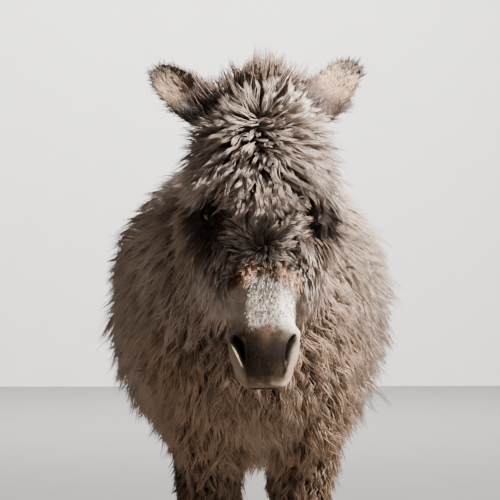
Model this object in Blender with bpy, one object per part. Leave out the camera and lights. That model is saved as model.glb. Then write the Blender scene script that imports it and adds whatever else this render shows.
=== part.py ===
"""A shaggy mountain donkey in its winter coat, standing square, in metres.

+Z is up, the animal faces -Y and its left side is +X. The origin is on the floor under the middle of the
whole animal. Every distance marked "behind" is measured backwards from the withers, and every one marked
"down" is measured along the face from the poll. The skin is given by sections. The solid core stands half
a coat off the skin, and flat tapered locks carry it out to the tips of the coat.
"""

import math
import random

import bmesh
import bpy
from mathutils import Matrix, Vector
from mathutils.bvhtree import BVHTree

GAP = 0.0003
WELDS = (0.00001, 0.000003, 0.000001)
CORE_SHARE = 0.42
SEED = 6

# Sides of each kind of ring, and how square a ring is: 2 is an ellipse and more is squarer
TRUNK_SIDES, NECK_SIDES, HEAD_SIDES, LEG_SIDES, HOOF_SIDES, DOCK_SIDES, EAR_SIDES = 20, 16, 20, 12, 16, 10, 14
TRUNK_FULLNESS = (2.50, 2.15)
HEAD_FULLNESS = (2.25, 2.25)
HOOF_FULLNESS = (2.20, 2.20)
ROUND = (2.00, 2.00)

# Main places of the frame
WITHERS_Y = -0.150
POLL = Vector((0.0, WITHERS_Y - 0.430, 1.015))
FACE_SLOPE = math.radians(76.0)
CORONET_Z = 0.052

# Sections of the trunk's skin: behind, height of the widest line, half width, rise to the back, drop to the
# belly, depth of the coat
TRUNK = (
    (-0.228, 0.700, 0.060, 0.075, 0.085, 0.045),
    (-0.205, 0.700, 0.100, 0.125, 0.135, 0.055),
    (-0.135, 0.705, 0.140, 0.190, 0.190, 0.060),
    (-0.030, 0.712, 0.168, 0.212, 0.220, 0.058),
    (0.085, 0.708, 0.194, 0.205, 0.243, 0.058),
    (0.205, 0.700, 0.210, 0.205, 0.248, 0.058),
    (0.330, 0.700, 0.213, 0.210, 0.245, 0.058),
    (0.450, 0.712, 0.200, 0.222, 0.228, 0.056),
    (0.555, 0.728, 0.176, 0.226, 0.195, 0.052),
    (0.645, 0.735, 0.140, 0.200, 0.160, 0.048),
    (0.700, 0.735, 0.095, 0.150, 0.110, 0.040),
    (0.722, 0.735, 0.050, 0.080, 0.060, 0.030),
)

# Sections of the neck's skin: behind, height of the centre, half width, half height, depth of the coat
NECK_RISE = math.radians(21.0)
NECK = (
    (0.020, 0.745, 0.115, 0.170, 0.050),
    (-0.110, 0.785, 0.108, 0.168, 0.058),
    (-0.210, 0.823, 0.094, 0.146, 0.056),
    (-0.300, 0.860, 0.082, 0.126, 0.052),
    (-0.385, 0.895, 0.072, 0.108, 0.046),
)

# Sections of the head's skin: down, rise over the straight face line, depth of the jaw, half width, coat.
# The widest line lies this share of the depth under the face line.
WIDEST_SHARE = 0.38
HEAD = (
    (-0.036, -0.052, 0.050, 0.020, 0.030),
    (-0.028, -0.030, 0.094, 0.042, 0.036),
    (-0.010, -0.008, 0.125, 0.062, 0.044),
    (0.030, 0.008, 0.150, 0.076, 0.051),
    (0.080, 0.016, 0.180, 0.085, 0.054),
    (0.125, 0.017, 0.198, 0.089, 0.051),
    (0.170, 0.012, 0.200, 0.088, 0.043),
    (0.215, 0.005, 0.186, 0.077, 0.038),
    (0.255, 0.000, 0.155, 0.063, 0.030),
    (0.290, -0.003, 0.126, 0.055, 0.014),
    (0.325, -0.005, 0.111, 0.053, 0.006),
    (0.355, -0.005, 0.106, 0.056, 0.004),
    (0.380, -0.007, 0.105, 0.055, 0.003),
    (0.400, -0.012, 0.103, 0.047, 0.003),
    (0.418, -0.020, 0.097, 0.038, 0.003),
    (0.430, -0.030, 0.089, 0.029, 0.003),
    (0.437, -0.042, 0.076, 0.018, 0.002),
)

# Sections of a leg's skin: height, behind, distance from the middle, half width, half depth, coat
FORELEG = (
    (0.640, -0.085, 0.085, 0.045, 0.075, 0.040),
    (0.530, -0.060, 0.085, 0.048, 0.070, 0.034),
    (0.430, -0.052, 0.084, 0.038, 0.049, 0.032),
    (0.330, -0.050, 0.083, 0.029, 0.035, 0.028),
    (0.280, -0.051, 0.083, 0.031, 0.036, 0.022),
    (0.240, -0.050, 0.083, 0.030, 0.033, 0.018),
    (0.195, -0.047, 0.083, 0.021, 0.026, 0.016),
    (0.145, -0.046, 0.083, 0.020, 0.026, 0.015),
    (0.110, -0.048, 0.083, 0.025, 0.030, 0.015),
    (0.080, -0.060, 0.083, 0.022, 0.025, 0.013),
    (0.045, -0.073, 0.083, 0.026, 0.030, 0.008),
)
HINDLEG = (
    (0.760, 0.560, 0.080, 0.040, 0.070, 0.040),
    (0.680, 0.575, 0.086, 0.062, 0.104, 0.040),
    (0.600, 0.587, 0.090, 0.068, 0.112, 0.040),
    (0.500, 0.588, 0.092, 0.054, 0.090, 0.036),
    (0.430, 0.610, 0.092, 0.042, 0.062, 0.030),
    (0.370, 0.650, 0.090, 0.032, 0.048, 0.024),
    (0.325, 0.664, 0.089, 0.031, 0.044, 0.020),
    (0.275, 0.660, 0.088, 0.024, 0.033, 0.018),
    (0.190, 0.652, 0.088, 0.021, 0.028, 0.016),
    (0.115, 0.648, 0.088, 0.026, 0.031, 0.015),
    (0.082, 0.636, 0.088, 0.022, 0.025, 0.013),
    (0.045, 0.624, 0.088, 0.026, 0.030, 0.008),
)

# How far to the left of that each foreleg stands, because the animal steps in under itself with its right
FORE_STEP = {1: 0.003, -1: 0.014}

# Hoof: half width and half length at the sole and the coronet, how far the toe reaches forward, the share of
# its length behind its middle, and the height and inset of the edge round the sole
HOOF_SOLE = (0.033, 0.040)
HOOF_TOP = (0.030, 0.034)
HOOF_REACH = 0.010
HEEL_SHARE = 0.82
SOLE_EDGE = (0.004, 0.0025)

# Sections of the tail's dock: behind, height, radius, coat
DOCK = (
    (0.660, 0.885, 0.026, 0.010),
    (0.730, 0.884, 0.025, 0.014),
    (0.782, 0.850, 0.021, 0.016),
    (0.800, 0.780, 0.018, 0.022),
    (0.802, 0.700, 0.015, 0.026),
    (0.800, 0.610, 0.011, 0.028),
)

# Eye: centre down the face, under the face line and from the middle, and the way it looks and lies as
# (down, out, across). The lids stand over the ball.
EYE = (0.152, -0.048, 0.076)
EYE_LOOK = (-0.06, 0.50, 0.86)
EYE_LIE = (0.96, 0.20, 0.0)
EYE_RADIUS = 0.0185
LID = 0.0035
EYE_OPENING = (0.0155, 0.0100)
EYE_HOLLOW = (0.036, 0.030, 0.020)
EYE_HOLLOW_OUT = 0.016
EYE_CUT = (0.003, 0.0385)
EYE_OPENING_SIDES = 12
EYE_ALMOND = 0.25

# Ear: the way of each to its tip, the right one held lower, and out of its opening, middle of its root on the
# head, length from the root, and its leaf as share of length, half width and half thickness
EAR_WAY = {1: (0.50, 0.62, 0.60), -1: (-0.58, 0.62, 0.52)}
EAR_FACING = (0.05, -1.00, 0.15)
EAR_ROOT = (0.012, -0.040, 0.056)
EAR_LENGTH = 0.215
EAR_LEAF = (
    (-0.15, 0.018, 0.016),
    (0.00, 0.025, 0.021),
    (0.20, 0.032, 0.023),
    (0.42, 0.036, 0.021),
    (0.64, 0.033, 0.017),
    (0.82, 0.027, 0.012),
    (0.94, 0.018, 0.008),
    (1.00, 0.008, 0.005),
)
EAR_CUP_FROM = 0.16
EAR_CUP_SHIFT = 0.0105
EAR_RIM = 0.0050
EAR_RIM_DEEP = 0.0020
EAR_CUT = 0.042

# Nostril: its two ends in the head's axes, the way it opens as (out, across), half width and half depth of
# the hole, and how far its wing stands round it and goes in
NOSTRIL_TOP = (0.352, -0.022, 0.050)
NOSTRIL_FOOT = (0.392, -0.022, 0.029)
NOSTRIL_FACING = (0.69, 0.72)
NOSTRIL_HALF_WIDTH = 0.0080
NOSTRIL_HALF_DEPTH = 0.0170
NOSTRIL_RIM = 0.0050
NOSTRIL_WING_DEPTH = 0.0130
NOSTRIL_RINGS = 6

# Mouth: the front of the line between the lips, its corner, the gap at the front, and the half width of the
# wedge that parts the lips
MOUTH_FRONT = (0.446, -0.050)
MOUTH_CORNER = (0.378, -0.074)
MOUTH_GAPE = 0.0030
MOUTH_HALF_SPAN = 0.10

# Borders of the nodes, as places (behind, height). The ear starts EAR_CUT along itself, beyond EAR_INNER
# from the middle, over EAR_LOWEST and before EAR_REAR.
NAPE = ((-0.368, 1.040), (-0.235, 0.800))
THROAT = ((-0.235, 0.800), (-0.318, 0.620))
COLLAR = ((-0.005, 0.970), (-0.225, 0.600))
NECK_LOWEST = 0.600
THIGH = ((0.475, 0.470), (0.765, 0.662))
THIGH_FRONT = 0.440
FORELEG_SPAN = (-0.215, 0.046)
FORELEG_TOP = (0.020, 0.470)
FORELEG_SLOPE = (0.400, 0.916)
TAIL_START = 0.766
TAIL_HALF_WIDTH = 0.100
EAR_INNER = 0.066
EAR_LOWEST = 0.986
EAR_REAR = -0.180

# The lie of the hair: the way it runs on each part, the place on the face that it spreads from, and the ways
# (down, out) along which it runs on the cheeks, which start this far under the face line
LIES = {"torso": (0.0, 0.55, -1.0), "neck": (0.0, 0.40, -1.0), "tail": (0.0, 0.12, -1.0)}
LEG_LIE = (0.0, 0.12, -1.0)
WHORL_DOWN = 0.236
WHORL_SPREAD = (1.6, 0.9, 0.035)
CHEEK_LIE = (0.60, -0.80)
CHEEK_UNDER = -0.070

# Where no lock grows: below this on the muzzle, this near to an eye or ear, this near over a coronet and on
# the dock
MUZZLE_FROM = 0.262
CLEAR_OF_FEATURES = 0.036
CLEAR_OF_CORONET = 0.045
DOCK_FROM = 0.690
DOCK_HALF_WIDTH = 0.050
SHANK_TOP = 0.250

# Roots on the middle of the face, as places (down, across), each lock reaching over the one above it
FACE_ROOTS = (
    (0.040, 0.000),
    (0.078, -0.025),
    (0.078, 0.025),
    (0.116, 0.000),
    (0.152, -0.027),
    (0.152, 0.027),
    (0.190, 0.000),
    (0.222, -0.029),
    (0.222, 0.029),
)
FACE_OVER = 0.050

# A lock: steps along it, width of each ring and height of each as shares, how far its root and its other
# rings are sunk, and the share of its thickness lost by the tip
LOCK_STEPS = 3
LOCK_WIDE = (0.80, 1.00, 0.72)
LOCK_HIGH = (-0.30, 0.35, 0.78, 1.00)
LOCK_SUNK = (0.006, 0.002)
LOCK_THINS = 0.45
LOCK_SHORTER = (1.00, 0.75, 0.55, 0.40)
LOCK_VARIES = (0.15, 0.12, 0.15)
LOCK_TURNS = 0.30
ROOT_TRIES = 9000

# Mane: where it starts and ends behind the withers, count, length, width and thickness of its locks
MANE_FROM = -0.380
MANE_TO = -0.020
MANE_COUNT = 10
MANE_LOCK = (0.085, 0.062, 0.020)
MANE_SHORTENS = 0.30
MANE_SUNK = 0.016
MANE_BESIDE = 0.006

# Forelock: half its width on the poll, count, and length, width and thickness of its locks
FORELOCK_HALF = 0.056
FORELOCK_COUNT = 9
FORELOCK_LOCK = (0.098, 0.034, 0.015)

# Tail tuft: heights of the highest and lowest root, count, and length, width and thickness of its locks
TUFT_TOP = 0.790
TUFT_FOOT = 0.620
TUFT_COUNT = 7
TUFT_LOCK = (0.235, 0.052, 0.018)
TUFT_TURN = 2.4
TUFT_FLARE = 0.12
TUFT_BEND = -0.05

# Finishes: red, green and blue as seen on a screen, and roughness
FINISHES = {
    "body_coat": (150, 133, 121, 0.90),
    "head_coat": (138, 123, 112, 0.90),
    "ear_coat": (152, 131, 115, 0.88),
    "tail_coat": (112, 98, 86, 0.90),
    "leg_coat": (108, 90, 76, 0.90),
    "eye": (26, 19, 14, 0.12),
    "hoof_horn": (54, 48, 43, 0.55),
}
NODE_FINISH = {
    "torso": "body_coat",
    "neck": "body_coat",
    "head": "head_coat",
    "ear": "ear_coat",
    "tail": "tail_coat",
    "foreleg": "leg_coat",
    "hindleg": "leg_coat",
    "eye": "eye",
    "forehoof": "hoof_horn",
    "hindhoof": "hoof_horn",
}

# Locks of each part of the coat: least distance between roots, length, width, thickness, height of the
# tips over the core
LOCKS = {
    "torso": (0.097, 0.165, 0.088, 0.020, 0.034),
    "neck": (0.088, 0.145, 0.078, 0.019, 0.032),
    "head": (0.042, 0.070, 0.038, 0.011, 0.025),
    "foreleg": (0.068, 0.105, 0.056, 0.013, 0.018),
    "hindleg": (0.079, 0.125, 0.068, 0.014, 0.020),
    "shank": (0.064, 0.075, 0.042, 0.009, 0.009),
}


def behind(distance):
    return WITHERS_Y + distance


def face_axes():
    """Down the face, out of the face and across it."""
    down = Vector((0.0, -math.cos(FACE_SLOPE), -math.sin(FACE_SLOPE)))
    out = Vector((0.0, -math.sin(FACE_SLOPE), math.cos(FACE_SLOPE)))
    return down, out, Vector((1.0, 0.0, 0.0))


def on_head(down, out, across):
    """The point at these distances from the poll in the head's own axes."""
    a, d, w = face_axes()
    return POLL + a * down + d * out + w * across


def material(name):
    """One of the named finishes, as a Principled BSDF."""
    red, green, blue, roughness = FINISHES[name]
    colour = [(value / 255.0) ** 2.2 for value in (red, green, blue)] + [1.0]
    made = bpy.data.materials.new(name)
    made.use_nodes = True
    shader = made.node_tree.nodes["Principled BSDF"]
    shader.inputs["Base Color"].default_value = colour
    shader.inputs["Roughness"].default_value = roughness
    shader.inputs["Metallic"].default_value = 0.0
    made.diffuse_color = colour
    return made


def finish(obj, name):
    """Gives the object this finish alone."""
    found = bpy.data.materials.get(name) or material(name)
    obj.data.materials.clear()
    obj.data.materials.append(found)


def closed_object(name, points, faces):
    """An object whose faces all point outwards."""
    mesh = bpy.data.meshes.new(name)
    mesh.from_pydata([tuple(p) for p in points], [], faces)
    body = bmesh.new()
    body.from_mesh(mesh)
    bmesh.ops.recalc_face_normals(body, faces=body.faces)
    body.to_mesh(mesh)
    body.free()
    made = bpy.data.objects.new(name, mesh)
    bpy.context.scene.collection.objects.link(made)
    return made


def loft(name, rings):
    """A closed skin over rings of equal count, each end closed by one flat face."""
    count = len(rings[0])
    points = [p for ring in rings for p in ring]
    faces = []
    for r in range(len(rings) - 1):
        for i in range(count):
            j = (i + 1) % count
            faces.append((r * count + i, r * count + j, (r + 1) * count + j, (r + 1) * count + i))
    faces.append(tuple(range(count)))
    faces.append(tuple((len(rings) - 1) * count + i for i in range(count)))
    return closed_object(name, points, faces)


def oval(centre, across, up, half_width, rise, drop, sides, fullness=ROUND):
    """A ring of points, with how full it is above and below its widest line."""
    ring = []
    for i in range(sides):
        turn = 2.0 * math.pi * (i + 0.5) / sides
        c, s = math.cos(turn), math.sin(turn)
        power = 2.0 / (fullness[0] if s > 0 else fullness[1])
        x = math.copysign(abs(c) ** power, c) * half_width
        y = math.copysign(abs(s) ** power, s) * (rise if s > 0 else drop)
        ring.append(centre + across * x + up * y)
    return ring


def applied(obj):
    """Replaces the object's mesh by its evaluated one, with the modifiers gone."""
    graph = bpy.context.evaluated_depsgraph_get()
    old = obj.data
    mesh = bpy.data.meshes.new_from_object(obj.evaluated_get(graph))
    obj.modifiers.clear()
    obj.data = mesh
    bpy.data.meshes.remove(old)
    return obj


def dropped(obj):
    mesh = obj.data
    bpy.data.objects.remove(obj)
    if mesh.users == 0:
        bpy.data.meshes.remove(mesh)


def boolean(obj, operation, others):
    """One Boolean with all of the other objects, which are then removed."""
    helpers = bpy.data.collections.new("operands")
    bpy.context.scene.collection.children.link(helpers)
    for other in others:
        bpy.context.scene.collection.objects.unlink(other)
        helpers.objects.link(other)
    step = obj.modifiers.new(operation.title(), "BOOLEAN")
    step.operation = operation
    step.operand_type = "COLLECTION"
    step.collection = helpers
    step.solver = "MANIFOLD"
    applied(obj)
    for other in others:
        dropped(other)
    bpy.data.collections.remove(helpers)
    return obj


def copied(obj, name):
    made = bpy.data.objects.new(name, obj.data.copy())
    bpy.context.scene.collection.objects.link(made)
    return made


def keep_largest(obj):
    """Leaves only the largest closed surface of the mesh."""
    body = bmesh.new()
    body.from_mesh(obj.data)
    seen = set()
    best, best_volume = set(), 0.0
    for start in body.faces:
        if start in seen:
            continue
        seen.add(start)
        island, front = {start}, [start]
        while front:
            for edge in front.pop().edges:
                for face in edge.link_faces:
                    if face not in seen:
                        seen.add(face)
                        island.add(face)
                        front.append(face)
        volume = sum(
            face.verts[0].co.dot(face.verts[k].co.cross(face.verts[k + 1].co)) / 6.0
            for face in island
            for k in range(1, len(face.verts) - 1)
        )
        if volume > best_volume:
            best, best_volume = island, volume
    bmesh.ops.delete(body, geom=[f for f in body.faces if f not in best], context="FACES")
    body.to_mesh(obj.data)
    body.free()
    return obj


def without_slivers(obj):
    """Closes up slivers, by the largest of a few distances that leaves the mesh closed."""
    for distance in WELDS:
        body = bmesh.new()
        body.from_mesh(obj.data)
        bmesh.ops.triangulate(body, faces=body.faces)
        bmesh.ops.remove_doubles(body, verts=body.verts, dist=distance)
        bmesh.ops.dissolve_degenerate(body, edges=body.edges, dist=distance)
        closed = all(len(edge.link_faces) == 2 for edge in body.edges)
        if closed:
            body.to_mesh(obj.data)
        body.free()
        if closed:
            return keep_largest(obj)
    return keep_largest(obj)


def trunk_core():
    rings = []
    for back, height, width, rise, drop, coat in TRUNK:
        extra = coat * CORE_SHARE
        centre = Vector((0.0, behind(back), height))
        sizes = (width + extra, rise + extra, drop + extra)
        rings.append(oval(centre, Vector((1, 0, 0)), Vector((0, 0, 1)), *sizes, TRUNK_SIDES, TRUNK_FULLNESS))
    return loft("trunk", rings)


def neck_core():
    up = Vector((0.0, math.sin(NECK_RISE), math.cos(NECK_RISE)))
    rings = []
    for back, height, width, half, coat in NECK:
        extra = coat * CORE_SHARE
        centre = Vector((0.0, behind(back), height))
        sizes = (width + extra, half + extra, half + extra)
        rings.append(oval(centre, Vector((1, 0, 0)), up, *sizes, NECK_SIDES))
    return loft("neck", rings)


def head_core():
    down, out, across = face_axes()
    rings = []
    for along, rise, depth, width, coat in HEAD:
        extra = coat * CORE_SHARE
        widest = on_head(along, -depth * WIDEST_SHARE, 0.0)
        above = rise + depth * WIDEST_SHARE + extra
        below = depth * (1.0 - WIDEST_SHARE) + extra
        rings.append(oval(widest, across, out, width + extra, above, below, HEAD_SIDES, HEAD_FULLNESS))
    return loft("head", rings)


def leg_core(name, sections, side, step=0.0):
    rings = []
    for height, back, middle, width, depth, coat in sections:
        extra = coat * CORE_SHARE
        centre = Vector((side * middle + step, behind(back), height))
        sizes = (width + extra, depth + extra, depth + extra)
        rings.append(oval(centre, Vector((1, 0, 0)), Vector((0, 1, 0)), *sizes, LEG_SIDES))
    return loft(name, rings)


def hoof(name, sections, side, step=0.0):
    """A hoof on a flat sole, under the end of its leg."""
    back, middle = sections[-1][1], sections[-1][2]
    across, along = Vector((1, 0, 0)), Vector((0, 1, 0))
    rings = []
    for height, inset in ((0.0, SOLE_EDGE[1]), (SOLE_EDGE[0], 0.0), (CORONET_Z, 0.0)):
        share = height / CORONET_Z
        width = HOOF_SOLE[0] + (HOOF_TOP[0] - HOOF_SOLE[0]) * share - inset
        toe = HOOF_SOLE[1] + (HOOF_TOP[1] - HOOF_SOLE[1]) * share
        centre = Vector((0.0, -HOOF_REACH * (1.0 - share), height))
        sizes = (width, toe * HEEL_SHARE - inset, toe - inset)
        rings.append(oval(centre, across, along, *sizes, HOOF_SIDES, HOOF_FULLNESS))
    made = loft(name, rings)
    made.location = (side * middle + step, behind(back), 0.0)
    return made


def dock_core():
    rings = []
    for i, (back, height, radius, coat) in enumerate(DOCK):
        before = DOCK[max(i - 1, 0)]
        after = DOCK[min(i + 1, len(DOCK) - 1)]
        along = Vector((0.0, after[0] - before[0], after[1] - before[1])).normalized()
        up = along.cross(Vector((1, 0, 0)))
        extra = coat * CORE_SHARE
        centre = Vector((0.0, behind(back), height))
        rings.append(oval(centre, Vector((1, 0, 0)), up, radius + extra, radius + extra, radius + extra, DOCK_SIDES))
    return loft("dock", rings)


def half_space_box(name, planes, grow=0.0):
    """The closed convex space on the inner side of every plane, each moved outwards by grow."""
    body = bmesh.new()
    bmesh.ops.create_cube(body, size=4.0)
    for point, outward in planes:
        outward = outward.normalized()
        everything = body.verts[:] + body.edges[:] + body.faces[:]
        found = bmesh.ops.bisect_plane(
            body, geom=everything, plane_co=point + outward * grow, plane_no=outward, clear_outer=True
        )
        edges = [e for e in found["geom_cut"] if isinstance(e, bmesh.types.BMEdge)]
        if edges:
            bmesh.ops.edgeloop_fill(body, edges=edges)
    bmesh.ops.recalc_face_normals(body, faces=body.faces)
    mesh = bpy.data.meshes.new(name)
    body.to_mesh(mesh)
    body.free()
    made = bpy.data.objects.new(name, mesh)
    bpy.context.scene.collection.objects.link(made)
    return made


def inside(point, planes):
    return all((point - place).dot(outward) < 0.0 for place, outward in planes)


def side_plane(first, second):
    """A plane across the animal through two places given as (behind, height). Its outside is on the left
    of the way from the first to the second, seen with the head on the left.
    """
    run = Vector((0.0, second[0] - first[0], second[1] - first[1]))
    return Vector((0.0, behind(first[0]), first[1])), Vector((0.0, -run.z, run.y)).normalized()


def ear_axes(side):
    """Along the ear to its tip, out of its opening and across it."""
    along = Vector(EAR_WAY[side]).normalized()
    facing = Vector((side * EAR_FACING[0], EAR_FACING[1], EAR_FACING[2]))
    opening = (facing - along * facing.dot(along)).normalized()
    return along, opening, along.cross(opening)


def ear_root(side):
    return on_head(EAR_ROOT[0], EAR_ROOT[1], side * EAR_ROOT[2])


def node_cells():
    """The space of each node but the torso, in the order in which they are parted from the whole."""
    right, back, up = Vector((1, 0, 0)), Vector((0, 1, 0)), Vector((0, 0, 1))
    cells = []
    for side, where in ((1, "left"), (-1, "right")):
        along, _, _ = ear_axes(side)
        cells.append(
            (
                "ear_" + where,
                [
                    (ear_root(side) + along * EAR_CUT, -along),
                    (right * side * EAR_INNER, -right * side),
                    (up * EAR_LOWEST, -up),
                    (back * behind(EAR_REAR), back),
                ],
            )
        )
    cells.append(("head", [side_plane(*NAPE), side_plane(*THROAT)]))
    cells.append(("neck", [side_plane(*COLLAR), (up * NECK_LOWEST, -up)]))
    tail_front = (back * behind(TAIL_START), -back)
    aside = right * TAIL_HALF_WIDTH
    cells.append(("tail", [tail_front, (aside, right), (-aside, -right)]))
    for side, where in ((1, "left"), (-1, "right")):
        inner = (right * side * GAP / 2.0, -right * side)
        foot = (up * (CORONET_Z + GAP), -up)
        top = Vector((side * FORELEG_TOP[0], 0.0, FORELEG_TOP[1]))
        slope = (top, Vector((-side * FORELEG_SLOPE[0], 0.0, FORELEG_SLOPE[1])))
        fore = (back * behind(FORELEG_SPAN[0]), -back)
        rear = (back * behind(FORELEG_SPAN[1]), back)
        cells.append(("foreleg_" + where, [inner, foot, slope, fore, rear]))
        front = (back * behind(THIGH_FRONT), -back)
        cells.append(("hindleg_" + where, [inner, foot, side_plane(*THIGH), front]))
    return cells


def ellipsoid(name, centre, axes, rings=8):
    """A closed ellipsoid whose three half axes are the given vectors."""
    body = bmesh.new()
    bmesh.ops.create_uvsphere(body, u_segments=2 * rings, v_segments=rings, radius=1.0)
    turn = Matrix((axes[0], axes[1], axes[2])).transposed().to_4x4()
    bmesh.ops.transform(body, matrix=Matrix.Translation(centre) @ turn, verts=body.verts)
    bmesh.ops.recalc_face_normals(body, faces=body.faces)
    mesh = bpy.data.meshes.new(name)
    body.to_mesh(mesh)
    body.free()
    made = bpy.data.objects.new(name, mesh)
    bpy.context.scene.collection.objects.link(made)
    return made


def eye_axes(side):
    """Out of the eye, along its opening towards the nose and across the lids."""
    down, out, across = face_axes()
    gaze = (down * EYE_LOOK[0] + out * EYE_LOOK[1] + across * side * EYE_LOOK[2]).normalized()
    slit = down * EYE_LIE[0] + out * EYE_LIE[1]
    slit = (slit - gaze * slit.dot(gaze)).normalized()
    return gaze, slit, gaze.cross(slit)


def eye_centre(side):
    return on_head(EYE[0], EYE[1], side * EYE[2])


def ball(name, side, radius):
    """A ball about the middle of the eye, with its poles along the gaze."""
    gaze, slit, over = eye_axes(side)
    made = ellipsoid(name, Vector(), (slit * radius, over * radius, gaze * radius))
    made.location = eye_centre(side)
    return made


def eye_opening(side):
    """A prism of almond outline that opens the lids over the ball."""
    gaze, slit, over = eye_axes(side)
    half_length, half_height = EYE_OPENING
    rings = []
    for reach in EYE_CUT:
        ring = []
        for i in range(EYE_OPENING_SIDES):
            turn = 2.0 * math.pi * i / EYE_OPENING_SIDES
            height = half_height * math.sin(turn) * (1.0 - EYE_ALMOND * abs(math.cos(turn)))
            ring.append(eye_centre(side) + gaze * reach + slit * half_length * math.cos(turn) + over * height)
        rings.append(ring)
    return loft("opening", rings)


def nostril(name, side, grow):
    """The hole of a nostril, or with grow its raised wing."""
    _, out, across = face_axes()
    top = on_head(NOSTRIL_TOP[0], NOSTRIL_TOP[1], side * NOSTRIL_TOP[2])
    foot = on_head(NOSTRIL_FOOT[0], NOSTRIL_FOOT[1], side * NOSTRIL_FOOT[2])
    along = foot - top
    normal = (out * NOSTRIL_FACING[0] + across * side * NOSTRIL_FACING[1]).normalized()
    normal = (normal - along.normalized() * normal.dot(along.normalized())).normalized()
    beside = along.normalized().cross(normal)
    half_depth = NOSTRIL_HALF_DEPTH if grow == 0.0 else NOSTRIL_WING_DEPTH
    centre = (top + foot) / 2.0
    axes = (
        beside * (NOSTRIL_HALF_WIDTH + grow),
        normal * half_depth,
        along.normalized() * (along.length / 2.0 + grow),
    )
    return ellipsoid(name, centre, axes, NOSTRIL_RINGS)


def mouth_slot():
    """A thin wedge between the lips, widest at the front."""
    _, out, _ = face_axes()
    half_span = Vector((MOUTH_HALF_SPAN, 0.0, 0.0))
    rings = []
    for side in (-1, 1):
        front = on_head(MOUTH_FRONT[0], MOUTH_FRONT[1], 0.0) + half_span * side
        corner = on_head(MOUTH_CORNER[0], MOUTH_CORNER[1], 0.0) + half_span * side
        rings.append([front + out * MOUTH_GAPE / 2.0, front - out * MOUTH_GAPE / 2.0, corner])
    return loft("mouth", rings)


def ear_rings(side, narrower, shallower, shift, first):
    along, opening, across = ear_axes(side)
    rings = []
    for share, width, depth in EAR_LEAF:
        if share < first:
            continue
        centre = ear_root(side) + along * EAR_LENGTH * share + opening * shift
        half_depth = depth - shallower
        rings.append(oval(centre, across, opening, width - narrower, half_depth, half_depth, EAR_SIDES))
    return rings


def ear(side):
    """A leaf shaped ear, hollowed from its opening side."""
    leaf = loft("leaf", ear_rings(side, 0.0, 0.0, 0.0, -1.0))
    cup = loft("cup", ear_rings(side, EAR_RIM, EAR_RIM_DEEP, EAR_CUP_SHIFT, EAR_CUP_FROM))
    return boolean(leaf, "DIFFERENCE", [cup])


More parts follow.
